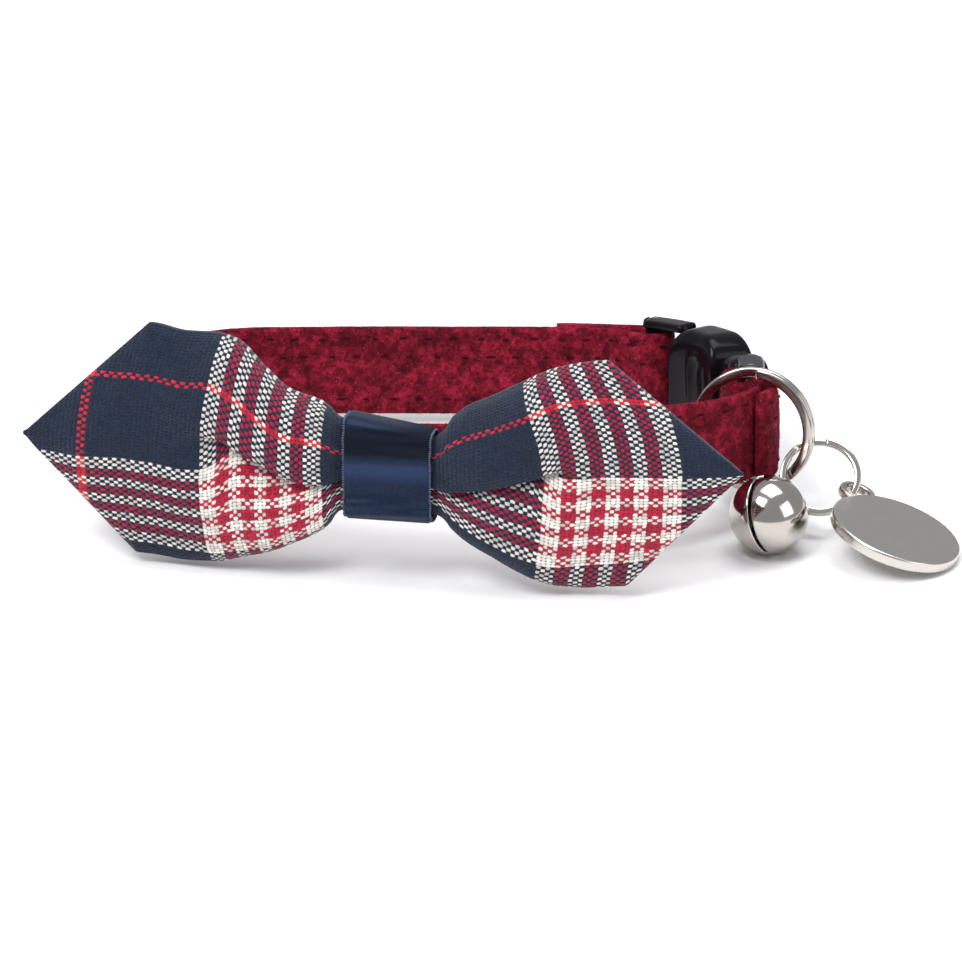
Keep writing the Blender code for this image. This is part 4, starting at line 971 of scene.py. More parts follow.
@dataclass
class Bow(Piece):
    """The tartan bow tie: two pleated, pointed wings of folded cotton."""

    stations: int = 270
    around: int = 12
    rear_steps: int = 8
    upright_pitch: float = 0.00052
    level_pitch: float = 0.00037
    left_shift: float = -0.0014
    right_shift: float = 0.0025
    pattern_start: float = -0.0222
    left_stretch: float = 1.11
    cut_slope: float = 1.05
    fold_lowest: float = 0.35
    fold_below_top: float = 0.3
    gather_depth: float = 0.00040
    gather_reach: float = 0.0115
    broad_waves: tuple = (0.011, 0.00022)
    small_waves: tuple = (0.0045, 0.00007)

    def section(self, share: float, rows: np.ndarray, point: dict) -> tuple[np.ndarray, float, float]:
        """Section of a wing.

        Args:
            share: place along the wing, 0 at the waist and 1 at the tip.
            rows: the wing's table of sections.
            point: where its top and bottom edges turn towards the tip.

        Returns:
            The section's closed curve as (height, depth), its top edge and its bottom edge.
        """
        where = np.array([share])
        columns = zip(WING_COLUMNS[1:], rows.T[1:])
        value = {name: float(monotone(rows[:, 0], column, where)[0]) for name, column in columns}
        tip = point["tip"]
        top_line = tip + (point["top"] - tip) * (1.0 - share) / (1.0 - point["top_at"])
        bottom_line = tip + (point["bottom"] - tip) * (1.0 - share) / (1.0 - point["bottom_at"])
        top = min(value["top"], top_line) * BOW_HALF_HEIGHT
        bottom = max(value["bottom"], bottom_line) * BOW_HALF_HEIGHT
        if top - bottom < TIP_HEIGHT:
            middle = (top + bottom) / 2
            top, bottom = middle + TIP_HEIGHT / 2, middle - TIP_HEIGHT / 2
        lowest = bottom + self.fold_lowest * (top - bottom)
        highest = top - self.fold_below_top * (top - bottom)
        fold = min(max(value["fold"] * BOW_HALF_HEIGHT, lowest), highest)
        room = min(1.0, (top - bottom) / (0.9 * BOW_HALF_HEIGHT))
        lap = min(value["lap"] * FOLD_LAP, 0.8 * (top - fold))
        crease = min(1.0, value["lap"] * 1.6)
        upper = value["upper"] * BOW_PUFF * room
        lower = value["lower"] * BOW_PUFF * room
        rear = value["rear"] * BOW_BACK_PUFF * room
        anchors = {"top": (top, fold - top), "fold": (fold, top - fold), "bottom": (bottom, fold - bottom)}
        whole = top - bottom
        ring = []
        for flat, anchor, toward, lap_share, up_share, low_share in FRONT_ROWS:
            base, reach = anchors[anchor]
            folded_t = base + toward * reach + lap_share * lap
            folded_n = up_share * upper + low_share * lower
            smooth = max(0.0, math.sin(math.pi * flat)) ** PUFF_POWER
            plain_t = top - flat * whole
            plain_n = smooth * (upper * (1.0 - flat) + lower * flat)
            t = plain_t + (folded_t - plain_t) * crease
            n = plain_n + (folded_n - plain_n) * crease
            ring.append((t, n + CLOTH_EDGE / 2))
        for step in range(REAR_POINTS):
            part = step / (REAR_POINTS - 1)
            smooth = max(0.0, math.sin(math.pi * part)) ** PUFF_POWER
            ring.append((bottom + part * whole, -rear * smooth - CLOTH_EDGE / 2))
        return np.array(ring), top, bottom

    def threads(self, s: float, left: bool, ring: np.ndarray, front: int, top: float, bottom: float,
                share: float) -> np.ndarray:
        """Thread numbers round a section.

        Level threads keep to the cloth: v runs with the arc length from the top edge through the
        pleat to the bottom edge. Upright threads bow slightly: u = s + bow * t^2.

        Args:
            s: place along the bow from its middle.
            left: whether it is the left wing.
            ring: points of the section as (height, depth).
            front: how many of them lie on the front.
            top: height of the section's top edge.
            bottom: height of its bottom edge.
            share: place along the wing, 0 at the waist and 1 at the tip.

        Returns:
            (n, 2) numbers of the upright and the level thread at each point.
        """
        point = LEFT_POINT if left else RIGHT_POINT
        v_top, v_bottom = (0.0158, -0.0125) if left else (0.0146, -0.0142)
        if share > point["top_at"]:
            v_top -= max(0.0, point["top"] * BOW_HALF_HEIGHT - top) * self.cut_slope
        if share > point["bottom_at"]:
            v_bottom += max(0.0, bottom - point["bottom"] * BOW_HALF_HEIGHT) * self.cut_slope
        lengths = arc_lengths(ring[:front])
        v = np.empty(len(ring))
        v[:front] = v_top + (v_bottom - v_top) * lengths / lengths[-1]
        v[front:] = v_bottom + (v_top - v_bottom) * np.linspace(0.0, 1.0, len(ring) - front)
        t = ring[:, 0] / MM
        if left:
            u = s + self.left_shift - np.where(t > 0, 0.012, 0.006) * t**2 * MM * np.clip(-s / 0.02, 0, 1)
            inner = self.pattern_start + (u - self.pattern_start) * self.left_stretch
            u = np.where(u > self.pattern_start, inner, u)
        else:
            u = s + self.right_shift + np.where(t > 0, 0.026, 0.0095) * t**2 * MM * np.clip(s / 0.016, 0, 1)
        return np.column_stack(((u - self.pattern_start) / self.upright_pitch, -v / self.level_pitch))

    @staticmethod
    def trim(s: float, t: np.ndarray) -> np.ndarray:
        """Heights drawn in under the band, at the left wing's foot and at the right wing's head."""
        reach = s / MM
        share = min(4.75, max(-4.75, reach)) / 9.5 + 0.5
        free = min(1.0, max(0.0, (abs(reach) - 4.9) / 1.8))
        high = min(1.0, (5.25 - 1.6 * share) / (t.max() / MM))
        low = min(1.0, (4.80 + 0.2 * share) / (-t.min() / MM))
        foot = 1.0 - 0.065 * min(1.0, max(0.0, (-reach - 6.0) / 10.0))
        head = 1.0 - 0.065 * min(1.0, max(0.0, (reach - 8.0) / 12.0))
        above = t * (high + (1.0 - high) * free) * head
        below = t * (low + (1.0 - low) * free) * foot
        return np.where(t > 0, above, below)

    def build(self) -> None:
        """Loft the sections: p = (s, -n, t), with gathers near the waist n += g(t) exp(-(s / reach)^2)."""
        shares_left = 1.0 - np.linspace(0.0, 1.0, self.stations // 2, endpoint=False)
        shares_left = np.unique(np.append(shares_left, (LEFT_POINT["top_at"], LEFT_POINT["bottom_at"])))[::-1]
        shares_right = np.linspace(0.0, 1.0, self.stations // 2)
        shares_right = np.unique(np.append(shares_right, (RIGHT_POINT["top_at"], RIGHT_POINT["bottom_at"])))
        grid, uv = [], []
        plans = [(-a * WING_LEFT, a, LEFT_ROWS, LEFT_POINT, True) for a in shares_left]
        plans += [(a * WING_RIGHT, a, RIGHT_ROWS, RIGHT_POINT, False) for a in shares_right]
        front = (len(FRONT_ROWS) - 1) * self.around + 1
        for s, share, rows, point, left in plans:
            coarse, top, bottom = self.section(share, rows, point)
            front_part = catmull(coarse[:len(FRONT_ROWS)], self.around)
            fine = np.vstack((front_part, catmull(coarse[len(FRONT_ROWS):], self.rear_steps)))
            uv.append(self.threads(s, left, fine, front, top, bottom, share))
            whole = max(top - bottom, 1e-5)
            level = (fine[:, 0] - bottom) / whole
            inside = np.clip(np.sin(np.pi * np.clip(level, 0, 1)), 0, 1)
            near = math.exp(-((s / self.gather_reach) ** 2))
            near *= min(1.0, max(0.15, (abs(s) / MM - 4.2) / 2.5))
            gather = self.gather_depth * near * np.sin(TAU * (3.2 * level + 0.25 * abs(s) / MM * 0.1))
            fine[:front, 1] += gather[:front] * inside[:front]
            fine[:, 1] *= 0.45 + 0.55 * min(1.0, whole / 0.0022)
            fine[:, 0] = self.trim(s, fine[:, 0])
            grid.append(np.column_stack((np.full(len(fine), s), -fine[:, 1], fine[:, 0])))
        pts = np.array(grid)
        rows, columns = pts.shape[:2]
        flat = pts.reshape(-1, 3)
        depth = np.clip(np.abs(flat[:, 1]) / 0.0015, 0, 1)
        broad = wave_noise(flat[:, ::2], self.broad_waves[0], SEED + 4) * self.broad_waves[1]
        small = wave_noise(flat[:, ::2], self.small_waves[0], SEED + 5) * self.small_waves[1]
        flat[:, 1] += (broad + small) * depth
        turned = transform(LOOP_TURN @ Matrix.Rotation(BOW_YAW, 4, "Z"), flat)
        turned += np.array(BOW_CENTRE)
        mesh = make_mesh("bow_cloth", turned, grid_faces(rows, columns, wrap_columns=True), np.vstack(uv))
        self.add("bow_cloth", mesh, self.finish.build(), stands_for=True)


@dataclass
class Band(Piece):
    """The satin ribbon round the bow's waist, with its woven picot edges."""

    waist: tuple = (-0.001786, 0.002393)
    around: int = 220
    across: int = 34
    creases: tuple = ((0.00016, 9.0, 1.7), (0.00010, 17.0, -3.0))
    hollow: float = 0.00012
    rib_pitch: float = 0.00022
    picots: int = 110
    picot_lengths: tuple = (0.00022, 0.00042)
    picot_radius: float = 0.00010

    def build(self) -> None:
        """A superellipse tube p = (x, -n, t) with a wall, soft level creases and a rounded edge."""
        rear, front = self.waist
        around, across = self.around, self.across
        a = np.linspace(0.0, TAU, around, endpoint=False)
        c, s = np.cos(a), np.sin(a)
        share = np.linspace(-0.5, 0.5, across)
        wall = BAND_THICKNESS
        round_edge = 1.0 - 0.35 * np.clip((np.abs(share) - 0.46) / 0.04, 0, 1) ** 2
        half_n = (front - rear) / 2 + CLEARANCE
        shells = []
        for lift in (np.full(across, 0.00003), wall * round_edge):
            shell = np.empty((across, around, 3))
            shell[..., 0] = (share * BAND_WIDTH)[:, None]
            front_side = np.clip(c, 0, 1)[None, :]
            waves = np.zeros((across, around))
            for deep, turns, slant in self.creases:
                waves += deep * np.sin(turns * s[None, :] + slant * share[:, None])
            crease = waves * front_side * (lift[:, None] > 0.0001)
            reach = half_n + lift[:, None] + crease - self.hollow * front_side
            shell[..., 1] = -((front + rear) / 2 + reach * np.sign(c) * np.abs(c) ** 0.55)
            top = 0.0055 - 0.0016 * (share[:, None] + 0.5) + lift[:, None]
            foot = 0.0050 + 0.0002 * (share[:, None] + 0.5) + lift[:, None]
            shell[..., 2] = np.where(s > 0, top, foot) * np.sign(s) * np.abs(s) ** 0.42
            shells.append(shell)
        grid = np.vstack((shells[1], shells[0][::-1]))
        rows = len(grid)
        place = Matrix.Translation(BOW_CENTRE) @ LOOP_TURN @ Matrix.Rotation(BOW_YAW, 4, "Z")
        flat = transform(place, grid.reshape(-1, 3))
        uv = np.empty((rows, around, 2))
        uv[..., 0] = grid[..., 2] / MM
        uv[..., 1] = (np.concatenate((share, share[::-1])) * BAND_WIDTH / self.rib_pitch)[:, None]
        faces = grid_faces(rows, around, wrap_rows=True, wrap_columns=True)
        mesh = make_mesh("band_satin", flat, faces, uv.reshape(-1, 2))
        self.add("band_satin", mesh, self.finish.build(), stands_for=True)
        edge_points, edge_ahead, edge_out = [], [], []
        outer = shells[1]
        for row, away in ((0, -1.0), (across - 1, 1.0)):
            ring = resample(np.vstack((outer[row], outer[row][:1])), self.picots)[:-1]
            ahead = np.roll(ring, -1, axis=0) - np.roll(ring, 1, axis=0)
            ahead /= np.linalg.norm(ahead, axis=1)[:, None]
            edge_points.append(ring + np.array((away * 0.00004, 0.0, 0.0)))
            edge_out.append(np.cross(ahead, np.tile((1.0, 0.0, 0.0), (len(ring), 1))))
            edge_ahead.append(np.tile((1.0, 0.0, 0.0), (len(ring), 1)))
        pts = np.vstack(edge_points)
        count = len(pts)
        rng = np.random.default_rng(SEED + 6)
        length = rng.uniform(*self.picot_lengths, count)
        radius = np.full(count, self.picot_radius)
        ahead, out = np.vstack(edge_ahead), np.vstack(edge_out)
        made, faces = capsules(pts, ahead, out, length, radius, sides=6, rings=5)
        thread = ThreadFinish("picot_thread", (0.10, 0.13, 0.20, 1.0), 0.5).build()
        self.add("band_picots", make_mesh("band_picots", transform(place, made), faces), thread)


def direction(azimuth: float, rise: float) -> Vector:
    """Unit vector at an angle round Z and an angle above the ground."""
    return Vector((math.cos(rise) * math.cos(azimuth), math.cos(rise) * math.sin(azimuth), math.sin(rise)))


def axes(x_axis: Vector, z_axis: Vector) -> Matrix:
    """A turn with its z axis exact and its x axis as near as it can be."""
    z = Vector(z_axis).normalized()
    x = (Vector(x_axis) - z * Vector(x_axis).dot(z)).normalized()
    return Matrix((x, z.cross(x), z)).transposed().to_4x4()


def split_ring_axes() -> Matrix:
    """The split ring's turn: it stands round the strap, turned and leaning."""
    yaw, lean = SPLIT_RING_YAW, SPLIT_RING_LEAN
    right = Vector((math.cos(yaw), math.sin(yaw), 0.0))
    down = Vector((math.sin(yaw) * math.sin(lean), -math.cos(yaw) * math.sin(lean), -math.cos(lean)))
    return axes(-down, right.cross(down))


def small_ring_axes() -> tuple[Matrix, Vector, Vector]:
    """The small ring's turn, its hanging direction and its sideways direction."""
    hang = direction(SMALL_RING_AZIMUTH, SMALL_RING_FALL)
    level = hang.cross(Vector((0.0, 0.0, 1.0))).normalized()
    normal = level.cross(hang) * math.cos(SMALL_RING_ROLL) + level * math.sin(SMALL_RING_ROLL)
    return axes(-hang, normal), hang, normal.cross(hang)


@dataclass
class Coil(Piece):
    """A split ring of flat, round-edged wire."""

    outer: float = 0.007
    band: float = 0.001
    wire: float = 0.0006
    turn: Matrix | None = None
    stations: int = 520
    around: int = 24

    def build(self) -> None:
        """Carry the wire's section (a, b), a superellipse, round the coil.

        The radius is middle + a and the height climb(turn) * pitch + b.
        """
        share = np.linspace(0.0, 1.0, self.stations)
        turns = COIL_TURNS * share
        angle = TAU * turns
        middle = self.outer - self.band / 2
        climb = np.clip((turns - COIL_STEP_START) / (COIL_STEP_END - COIL_STEP_START), 0.0, 1.0)
        climb = climb * climb * (3.0 - 2.0 * climb)
        height = (climb - 0.5) * (self.wire + COIL_GAP)
        near = np.minimum(share, 1.0 - share) * COIL_TURNS * TAU * middle
        end = np.clip(near / (0.5 * self.wire), 0.02, 1.0)
        end = np.sqrt(1.0 - (1.0 - end) ** 2)
        b = np.linspace(0.0, TAU, self.around, endpoint=False) + math.pi / self.around
        across = np.sign(np.cos(b)) * np.abs(np.cos(b)) ** 0.5 * self.band / 2
        up = np.sign(np.sin(b)) * np.abs(np.sin(b)) ** 0.5 * self.wire / 2
        radius = middle + across[None, :] * (0.35 + 0.65 * end[:, None])
        pts = np.stack((
            radius * np.cos(angle)[:, None], radius * np.sin(angle)[:, None],
            height[:, None] + up[None, :] * end[:, None],
        ), axis=-1)
        turned = transform(self.turn, pts.reshape(-1, 3))
        turned += centre_on(turned, self.nodes[0])
        faces = np.vstack((grid_faces(len(share), len(b), wrap_columns=True), tube_caps(len(share), len(b))))
        mesh = make_mesh(self.name, turned, faces)
        self.add(self.name, mesh, self.finish.build(), stands_for=True)


@dataclass
class Bell(Piece):
    """The round bell: a thin shell with its slot and a wire shank."""

    def build(self) -> None:
        """Both halves of the shell and the shank.

        Each half is a polar grid about the axis across the slot: rho = edge(psi) * share, where
        edge is a right angle at the back, the slot's side in front and the round hole at each end.
        """
        psi = np.linspace(0.0, TAU, 361)[:-1] + TAU / 720
        y, z = np.cos(psi), np.sin(psi)
        half_slot = math.acos(BELL_SLOT / 2 / BELL_RADIUS)
        edge = np.where(z > 0, half_slot, math.pi / 2)
        reach = BELL_SLOT_END / BELL_RADIUS
        off = np.minimum(np.abs(np.arctan2(z, y)), math.pi - np.abs(np.arctan2(z, y)))
        hole = math.pi / 2 - np.sqrt(np.clip(reach**2 - off**2, 0.0, None))
        edge = np.minimum(edge, hole)
        open_here = edge < math.pi / 2 - 1e-6
        shares = np.linspace(0.0, 1.0, 60)[1:]
        rounds = np.linspace(0.0, math.pi, 7)[1:-1]
        lip, bulge = BELL_WALL / 2, 0.35 * BELL_WALL
        rows = [(share, 0.0, BELL_RADIUS) for share in shares]
        middle = BELL_RADIUS - lip
        rim = [(1.0, bulge * math.sin(a) / BELL_RADIUS, middle + lip * math.cos(a)) for a in rounds]
        inner = [(share, 0.0, BELL_RADIUS - BELL_WALL) for share in shares[::-1]]
        verts, faces = [], []
        for side in (1.0, -1.0):
            grid = []
            for share, more, radius in rows + rim + inner:
                rho = edge * share + np.where(open_here, more, 0.0)
                grid.append(np.column_stack((side * np.cos(rho), np.sin(rho) * y, np.sin(rho) * z)) * radius)
            grid = np.array(grid)
            quads = grid_faces(len(grid), len(psi), wrap_columns=True).reshape(len(grid) - 1, len(psi), 4)
            closed = ~(open_here & np.roll(open_here, -1))
            keep = np.ones(quads.shape[:2], bool)
            keep[len(rows) - 1:len(rows) + len(rim)][:, closed] = False
            quads = quads[keep]
            quads = quads if side > 0 else quads[:, ::-1]
            faces.append(quads + sum(len(v) for v in verts))
            verts.append(grid.reshape(-1, 3))
        away = direction(BELL_AZIMUTH, BELL_RISE)
        turn = axes(Vector((math.cos(BELL_SLOT_LEAN), 0.0, math.sin(BELL_SLOT_LEAN))), away)
        _, hang, side_way = small_ring_axes()
        along = side_way * math.cos(BELL_AT) - hang * math.sin(BELL_AT)
        across = (along - away * along.dot(away)).normalized()
        centre = -away * (BELL_RADIUS + SHANK_RADIUS - SHANK_WIRE)
        a = np.linspace(0.0, TAU, 90, endpoint=False)[:, None]
        b = np.linspace(0.0, TAU, 24, endpoint=False)[None, :]
        out = SHANK_RADIUS + SHANK_WIRE * np.cos(b)
        ring = np.stack((out * np.cos(a), out * np.sin(a), SHANK_WIRE * np.sin(b) + 0 * a), axis=-1)
        ring = transform(Matrix.Translation(centre) @ axes(-away, across), ring.reshape(-1, 3))
        shell = transform(turn, np.vstack(verts))
        shift = centre_on(np.vstack((shell, ring)), Node.BELL)
        material = self.finish.build()
        mesh = make_mesh("bell_shell", shell + shift, np.vstack(faces))
        weld(mesh)
        self.add("bell_shell", mesh, material, stands_for=True)
        mesh = make_mesh("bell_shank", ring + shift, grid_faces(90, 24, True, True))
        self.add("bell_shank", mesh, material)


def weld(mesh: bpy.types.Mesh) -> None:
    """Join points of a mesh that lie on one another."""
    work = bmesh.new()
    work.from_mesh(mesh)
    bmesh.ops.remove_doubles(work, verts=work.verts, dist=1e-6)
    work.to_mesh(mesh)
    work.free()


@dataclass
class Tag(Piece):
    """The round tag: a softly edged disc and its pierced ear."""

    def build(self) -> None:
        """Revolve the disc p = (r(k) cos a, r(k) sin a, z(k)) and the ear's washer.

        The disc is cut back round the ear's hole.
        """
        half = TAG_THICKNESS / 2
        ear_at = TAG_RADIUS + EAR_HOLE - TAG_RIM / 2
        soft = 0.00028
        bend = np.linspace(0.0, math.pi / 2, 7)
        top = [(r, half) for r in np.linspace(0.0, TAG_RADIUS - soft - 0.0002, 26)]
        top += [(TAG_RADIUS - soft + soft * math.sin(a), half - soft + soft * math.cos(a)) for a in bend]
        profile = np.array(top + [(r, -z) for r, z in top[::-1]])
        a = np.linspace(0.0, TAU, 240, endpoint=False)
        radius = np.repeat(profile[:, :1], len(a), axis=1)
        under = ear_at * np.cos(a)
        inside = EAR_HOLE**2 - (ear_at * np.sin(a)) ** 2
        limit = np.where((inside > 0) & (np.cos(a) > 0), under - np.sqrt(np.clip(inside, 0, None)), 1.0)
        radius = np.minimum(radius, limit[None, :])
        height = np.repeat(profile[:, 1:], len(a), axis=1)
        disc = np.stack((radius * np.cos(a), radius * np.sin(a), height), axis=-1)
        b = np.linspace(0.0, TAU, 32, endpoint=False)
        across = (EAR_RADIUS - EAR_HOLE) / 2
        r = (EAR_RADIUS + EAR_HOLE) / 2 + across * np.sign(np.cos(b)) * np.abs(np.cos(b)) ** 0.5
        z = EAR_THICKNESS / 2 * np.sign(np.sin(b)) * np.abs(np.sin(b)) ** 0.5
        c = np.linspace(0.0, TAU, 120, endpoint=False)[:, None]
        ear = np.stack((ear_at + r * np.cos(c), r * np.sin(c), z + 0 * c), axis=-1)
        face = Vector((TAG_LEAN[0], TAG_LEAN[1], 1.0)).normalized()
        level = (Vector((1.0, 0.0, 0.0)) - face * face.x).normalized()
        side = level * math.cos(TAG_EAR_TURN) + face.cross(level) * math.sin(TAG_EAR_TURN)
        turn = axes(side, face)
        disc = transform(turn, disc.reshape(-1, 3))
        ear = transform(turn, ear.reshape(-1, 3))
        shift = centre_on(np.vstack((disc, ear)), Node.TAG)
        material = self.finish.build()
        faces = grid_faces(len(profile), len(a), wrap_columns=True)
        mesh = make_mesh("tag_disc", disc + shift, faces)
        self.add("tag_disc", mesh, material, stands_for=True)
        mesh = make_mesh("tag_ear", ear + shift, grid_faces(len(c), len(b), True, True))
        self.add("tag_ear", mesh, material)


@dataclass
class Buckle(Piece):
    """One half of the curved buckle: rounded moulded lobes along the buckle's arc."""

    path: StrapPath | None = None
    female: bool = True

    def lobe(self, low: tuple, high: tuple, corner: float, power: float = 0.30,
             latch: tuple | None = None) -> tuple[np.ndarray, np.ndarray]:
        """A rounded block between two corners of the straightened buckle, carried onto its arc.

        p(a, b) = (x(a), y e cos(b)^power, z0 + h(x) e sin(b)^power), where e rounds both ends and
        h(x) draws the top and bottom in by a round corner. A latch adds a raised open ring.

        Args:
            low: its lowest corner: along the arc, outward and up.
            high: its highest corner.
            corner: radius of the corners seen from the side.
            power: power of the section's superellipse.
            latch: the ring's place along the arc, its height and its radius, or None.

        Returns:
            Points and quad faces.
        """
        stations, around = 72, 96
        a = np.linspace(0.0, math.pi, stations)
        b = np.linspace(0.0, TAU, around, endpoint=False) + math.pi / around
        x = (low[0] + high[0]) / 2 - (high[0] - low[0]) / 2 * np.cos(a)
        edge = np.minimum(x - low[0], high[0] - x)
        soft = min(0.0006, (high[0] - low[0]) / 3)
        end = np.sqrt(np.clip(1.0 - (1.0 - np.clip(edge / soft, 0.0, 1.0)) ** 2, 0.0004, 1.0))
        drawn = corner - np.sqrt(np.clip(corner**2 - np.clip(corner - edge, 0.0, corner) ** 2, 0.0, None))
        half_y, half_z = (high[1] - low[1]) / 2, (high[2] - low[2]) / 2
        tall = half_z - drawn
        c, s = np.cos(b), np.sin(b)
        y = (half_y - soft * (1.0 - end))[:, None] * (np.sign(c) * np.abs(c) ** power)[None, :]
        z = (tall - soft * (1.0 - end))[:, None] * (np.sign(s) * np.abs(s) ** power)[None, :]
        z = z + (low[2] + high[2]) / 2
        y = y + (low[1] + high[1]) / 2
        if latch is not None:
            away = np.hypot(x[:, None] - latch[0], z - latch[1])
            round_it = np.arctan2(z - latch[1], x[:, None] - latch[0])
            opening = np.clip(1.3 - np.cos(round_it - 0.4), 0.0, 1.0)
            ring = 0.00030 * np.exp(-(((away - latch[2]) / 0.00026) ** 2)) * opening
            dish = -0.00032 * np.exp(-((away / (0.75 * latch[2])) ** 4))
            y = y + np.sign(y) * (ring + dish)
        turned = self.path.heading - x / BUCKLE_RADIUS
        reach = BUCKLE_RADIUS + y
        across = self.path.centre[0] - np.sin(turned)[:, None] * reach
        back = self.path.centre[1] + np.cos(turned)[:, None] * reach
        pts = np.stack((across, back, z), axis=-1)
        faces = np.vstack((grid_faces(stations, around, wrap_columns=True), tube_caps(stations, around)))
        return pts.reshape(-1, 3), faces

    def build(self) -> None:
        """The body, two rails and the strap bar of this half."""
        low, high = -CLEARANCE - RAIL_THICKNESS, STRAP_WIDTH + CLEARANCE + RAIL_THICKNESS
        bar, rail = BAR_THICKNESS / 2, RAIL_DEPTH / 2
        start = bar + SLOT_LENGTH + CLEARANCE
        mouth = start + HOUSING_LENGTH
        if self.female:
            at, far = 0.0, start + 0.0012
            half = HOUSING_DEPTH / 2
            latch = (mouth - 0.0040, 0.0072, 0.0016)
            parts = [self.lobe((start, -half, low), (mouth, half, high), 0.0034, 0.34, latch)]
        else:
            at, far = BUCKLE_SPAN, BUCKLE_SPAN - start - 0.0012
            half = BASE_DEPTH / 2
            inset = 2 * CLEARANCE
            lowest = (mouth + CLEARANCE, -half, low + inset)
            parts = [self.lobe(lowest, (BUCKLE_SPAN - start, half, high - inset), 0.0022, 0.38)]
            inner = low + 0.0016
            for bottom in (inner, STRAP_WIDTH - inner - PRONG_WIDTH):
                parts.append(self.lobe((mouth - PRONG_LENGTH, -PRONG_DEPTH / 2, bottom),
                                       (mouth + 0.001, PRONG_DEPTH / 2, bottom + PRONG_WIDTH), 0.0004))
        near, end = (at - bar, far) if self.female else (far, at + bar)
        for bottom in (low, high - RAIL_THICKNESS):
            parts.append(self.lobe((near, -rail, bottom), (end, rail, bottom + RAIL_THICKNESS), 0.0004, 0.5))
        parts.append(self.lobe((at - bar, -bar, low), (at + bar, bar, high), 0.0003, 0.6))
        points, faces, count = [], [], 0
        for pts, quads in parts:
            points.append(pts)
            faces.append(quads + count)
            count += len(pts)
        turned = transform(LOOP_TURN, np.vstack(points))
        turned += centre_on(turned, self.nodes[0])
        mesh = make_mesh(self.name, turned, np.vstack(faces))
        self.add(self.name, mesh, self.finish.build(), stands_for=True)


@dataclass
class Carried(Piece):
    """CAD nodes that are shown as they are, dressed in a finish."""

    def build(self) -> None:
        """Give each node the finish."""
        material = self.finish.build()
        for node in self.nodes:
            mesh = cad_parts[node.value].data
            mesh.materials.clear()
            mesh.materials.append(material)
            log.info("%s carried from the frame", node.value)


# The shot


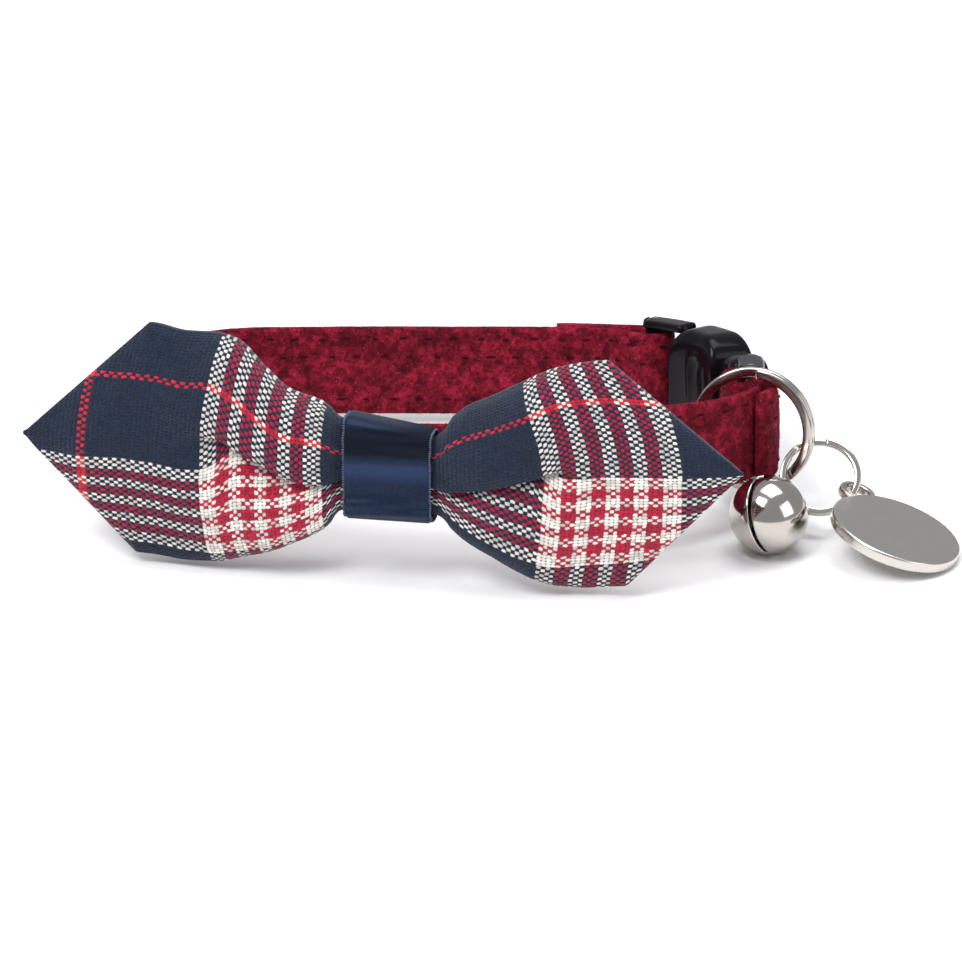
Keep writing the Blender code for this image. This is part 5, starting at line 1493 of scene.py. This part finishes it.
@dataclass(frozen=True)
class Studio:
    """Floor, lights and camera."""

    elevation: float = math.radians(23.1)
    distance: float = 1.2
    lens: float = 404.0
    aim: tuple = (-0.00117, 0.0, 0.00288)
    sensor: float = 36.0
    sky: tuple = (0.93, 0.95, 1.0, 1.0)
    sky_strength: float = 0.48
    lights: tuple = (
        ("key", (-0.28, -0.34, 0.62), 0.34, 4.6),
        ("top", (0.10, 0.10, 0.75), 0.50, 3.6),
        ("fill", (0.55, -0.30, 0.30), 0.40, 1.0),
    )

    def build(self) -> None:
        """Make the floor, the lights and the camera."""
        bpy.context.scene.view_settings.view_transform = "Standard"
        self.floor()
        for light in self.lights:
            self.light(*light)
        world = bpy.data.worlds.new("studio")
        bpy.context.scene.world = world
        world.use_nodes = True
        background = world.node_tree.nodes["Background"]
        background.inputs[0].default_value = self.sky
        background.inputs[1].default_value = self.sky_strength
        self.camera()

    def floor(self) -> None:
        """A large plain floor."""
        span = np.array([(-2, -2, 0), (2, -2, 0), (2, 2, 0), (-2, 2, 0)], float)
        mesh = make_mesh("floor", span, np.array([[0, 1, 2, 3]]))
        made = bpy.data.objects.new("floor", mesh)
        bpy.context.scene.collection.objects.link(made)
        g = Graph("floor")
        grain = g.noise(300.0, 2.0)
        tone = g.mix(grain, (0.90, 0.90, 0.905, 1.0), (0.92, 0.92, 0.925, 1.0))
        mesh.materials.append(g.finish(Base_Color=tone, Roughness=0.6, Specular_IOR_Level=0.2))
        made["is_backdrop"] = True

    def light(self, name: str, at: tuple, size: float, watts: float) -> None:
        """A square area light aimed at the frame's origin."""
        data = bpy.data.lights.new(name, "AREA")
        data.size = size
        data.energy = watts
        made = bpy.data.objects.new(name, data)
        bpy.context.scene.collection.objects.link(made)
        made.location = at
        made.rotation_euler = (-Vector(at)).to_track_quat("-Z", "Y").to_euler()
        made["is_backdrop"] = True

    def camera(self) -> None:
        """A long-lens camera at the photo's angle."""
        data = bpy.data.cameras.new("camera")
        data.lens = self.lens
        data.sensor_width = self.sensor
        data.clip_end = 10.0
        made = bpy.data.objects.new("camera", data)
        bpy.context.scene.collection.objects.link(made)
        back = Vector((0.0, -math.cos(self.elevation), math.sin(self.elevation)))
        made.location = Vector(self.aim) + back * self.distance
        made.rotation_euler = (-back).to_track_quat("-Z", "Y").to_euler()
        bpy.context.scene.camera = made


def plain(bounds) -> object:
    """Bounds as plain lists."""
    if isinstance(bounds, dict):
        return {key: plain(value) for key, value in bounds.items()}
    if isinstance(bounds, (int, float, str)) or bounds is None:
        return bounds
    return [plain(value) for value in bounds]


def main() -> None:
    """Build every piece and the studio."""
    logging.basicConfig(level=logging.INFO, format="%(message)s")
    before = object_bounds()
    path = StrapPath()
    tag_nickel = NickelFinish("tag_nickel", colour=(0.60, 0.57, 0.53, 1.0), rough=0.24, brushed=0.12)
    pieces = [
        Strap("strap", Slot.VELVET, VelvetFinish(), (Node.STRAP,), path=path),
        Bow("bow", Slot.TARTAN, TartanFinish(), (Node.BOW,)),
        Band("band", Slot.SATIN, SatinFinish(), (Node.BAND,)),
        Buckle("buckle_housing", Slot.PLASTIC, PlasticFinish("housing_plastic"), (Node.FEMALE,), path=path),
        Buckle("buckle_insert", Slot.PLASTIC, PlasticFinish("insert_plastic"), (Node.MALE,), path=path,
               female=False),
        Coil("split_ring_wire", Slot.NICKEL, NickelFinish("ring_nickel"), (Node.SPLIT_RING,),
             band=0.00115, wire=0.0007, turn=split_ring_axes()),
        Coil("small_ring_wire", Slot.NICKEL, NickelFinish("small_ring_nickel"), (Node.SMALL_RING,),
             outer=0.0045, band=0.00070, wire=0.00042, turn=small_ring_axes()[0]),
        Bell("bell", Slot.NICKEL, NickelFinish("bell_nickel", rough=0.12), (Node.BELL,)),
        Carried("pea", Slot.NICKEL, NickelFinish("pea_nickel", rough=0.3), (Node.PEA,)),
        Tag("tag", Slot.SATIN_NICKEL, tag_nickel, (Node.TAG,)),
    ]
    for piece in pieces:
        piece.build()
    Studio().build()
    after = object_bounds()
    {"loaded": plain(before), "finished": plain(after)}


if __name__ == "__main__":
    main()
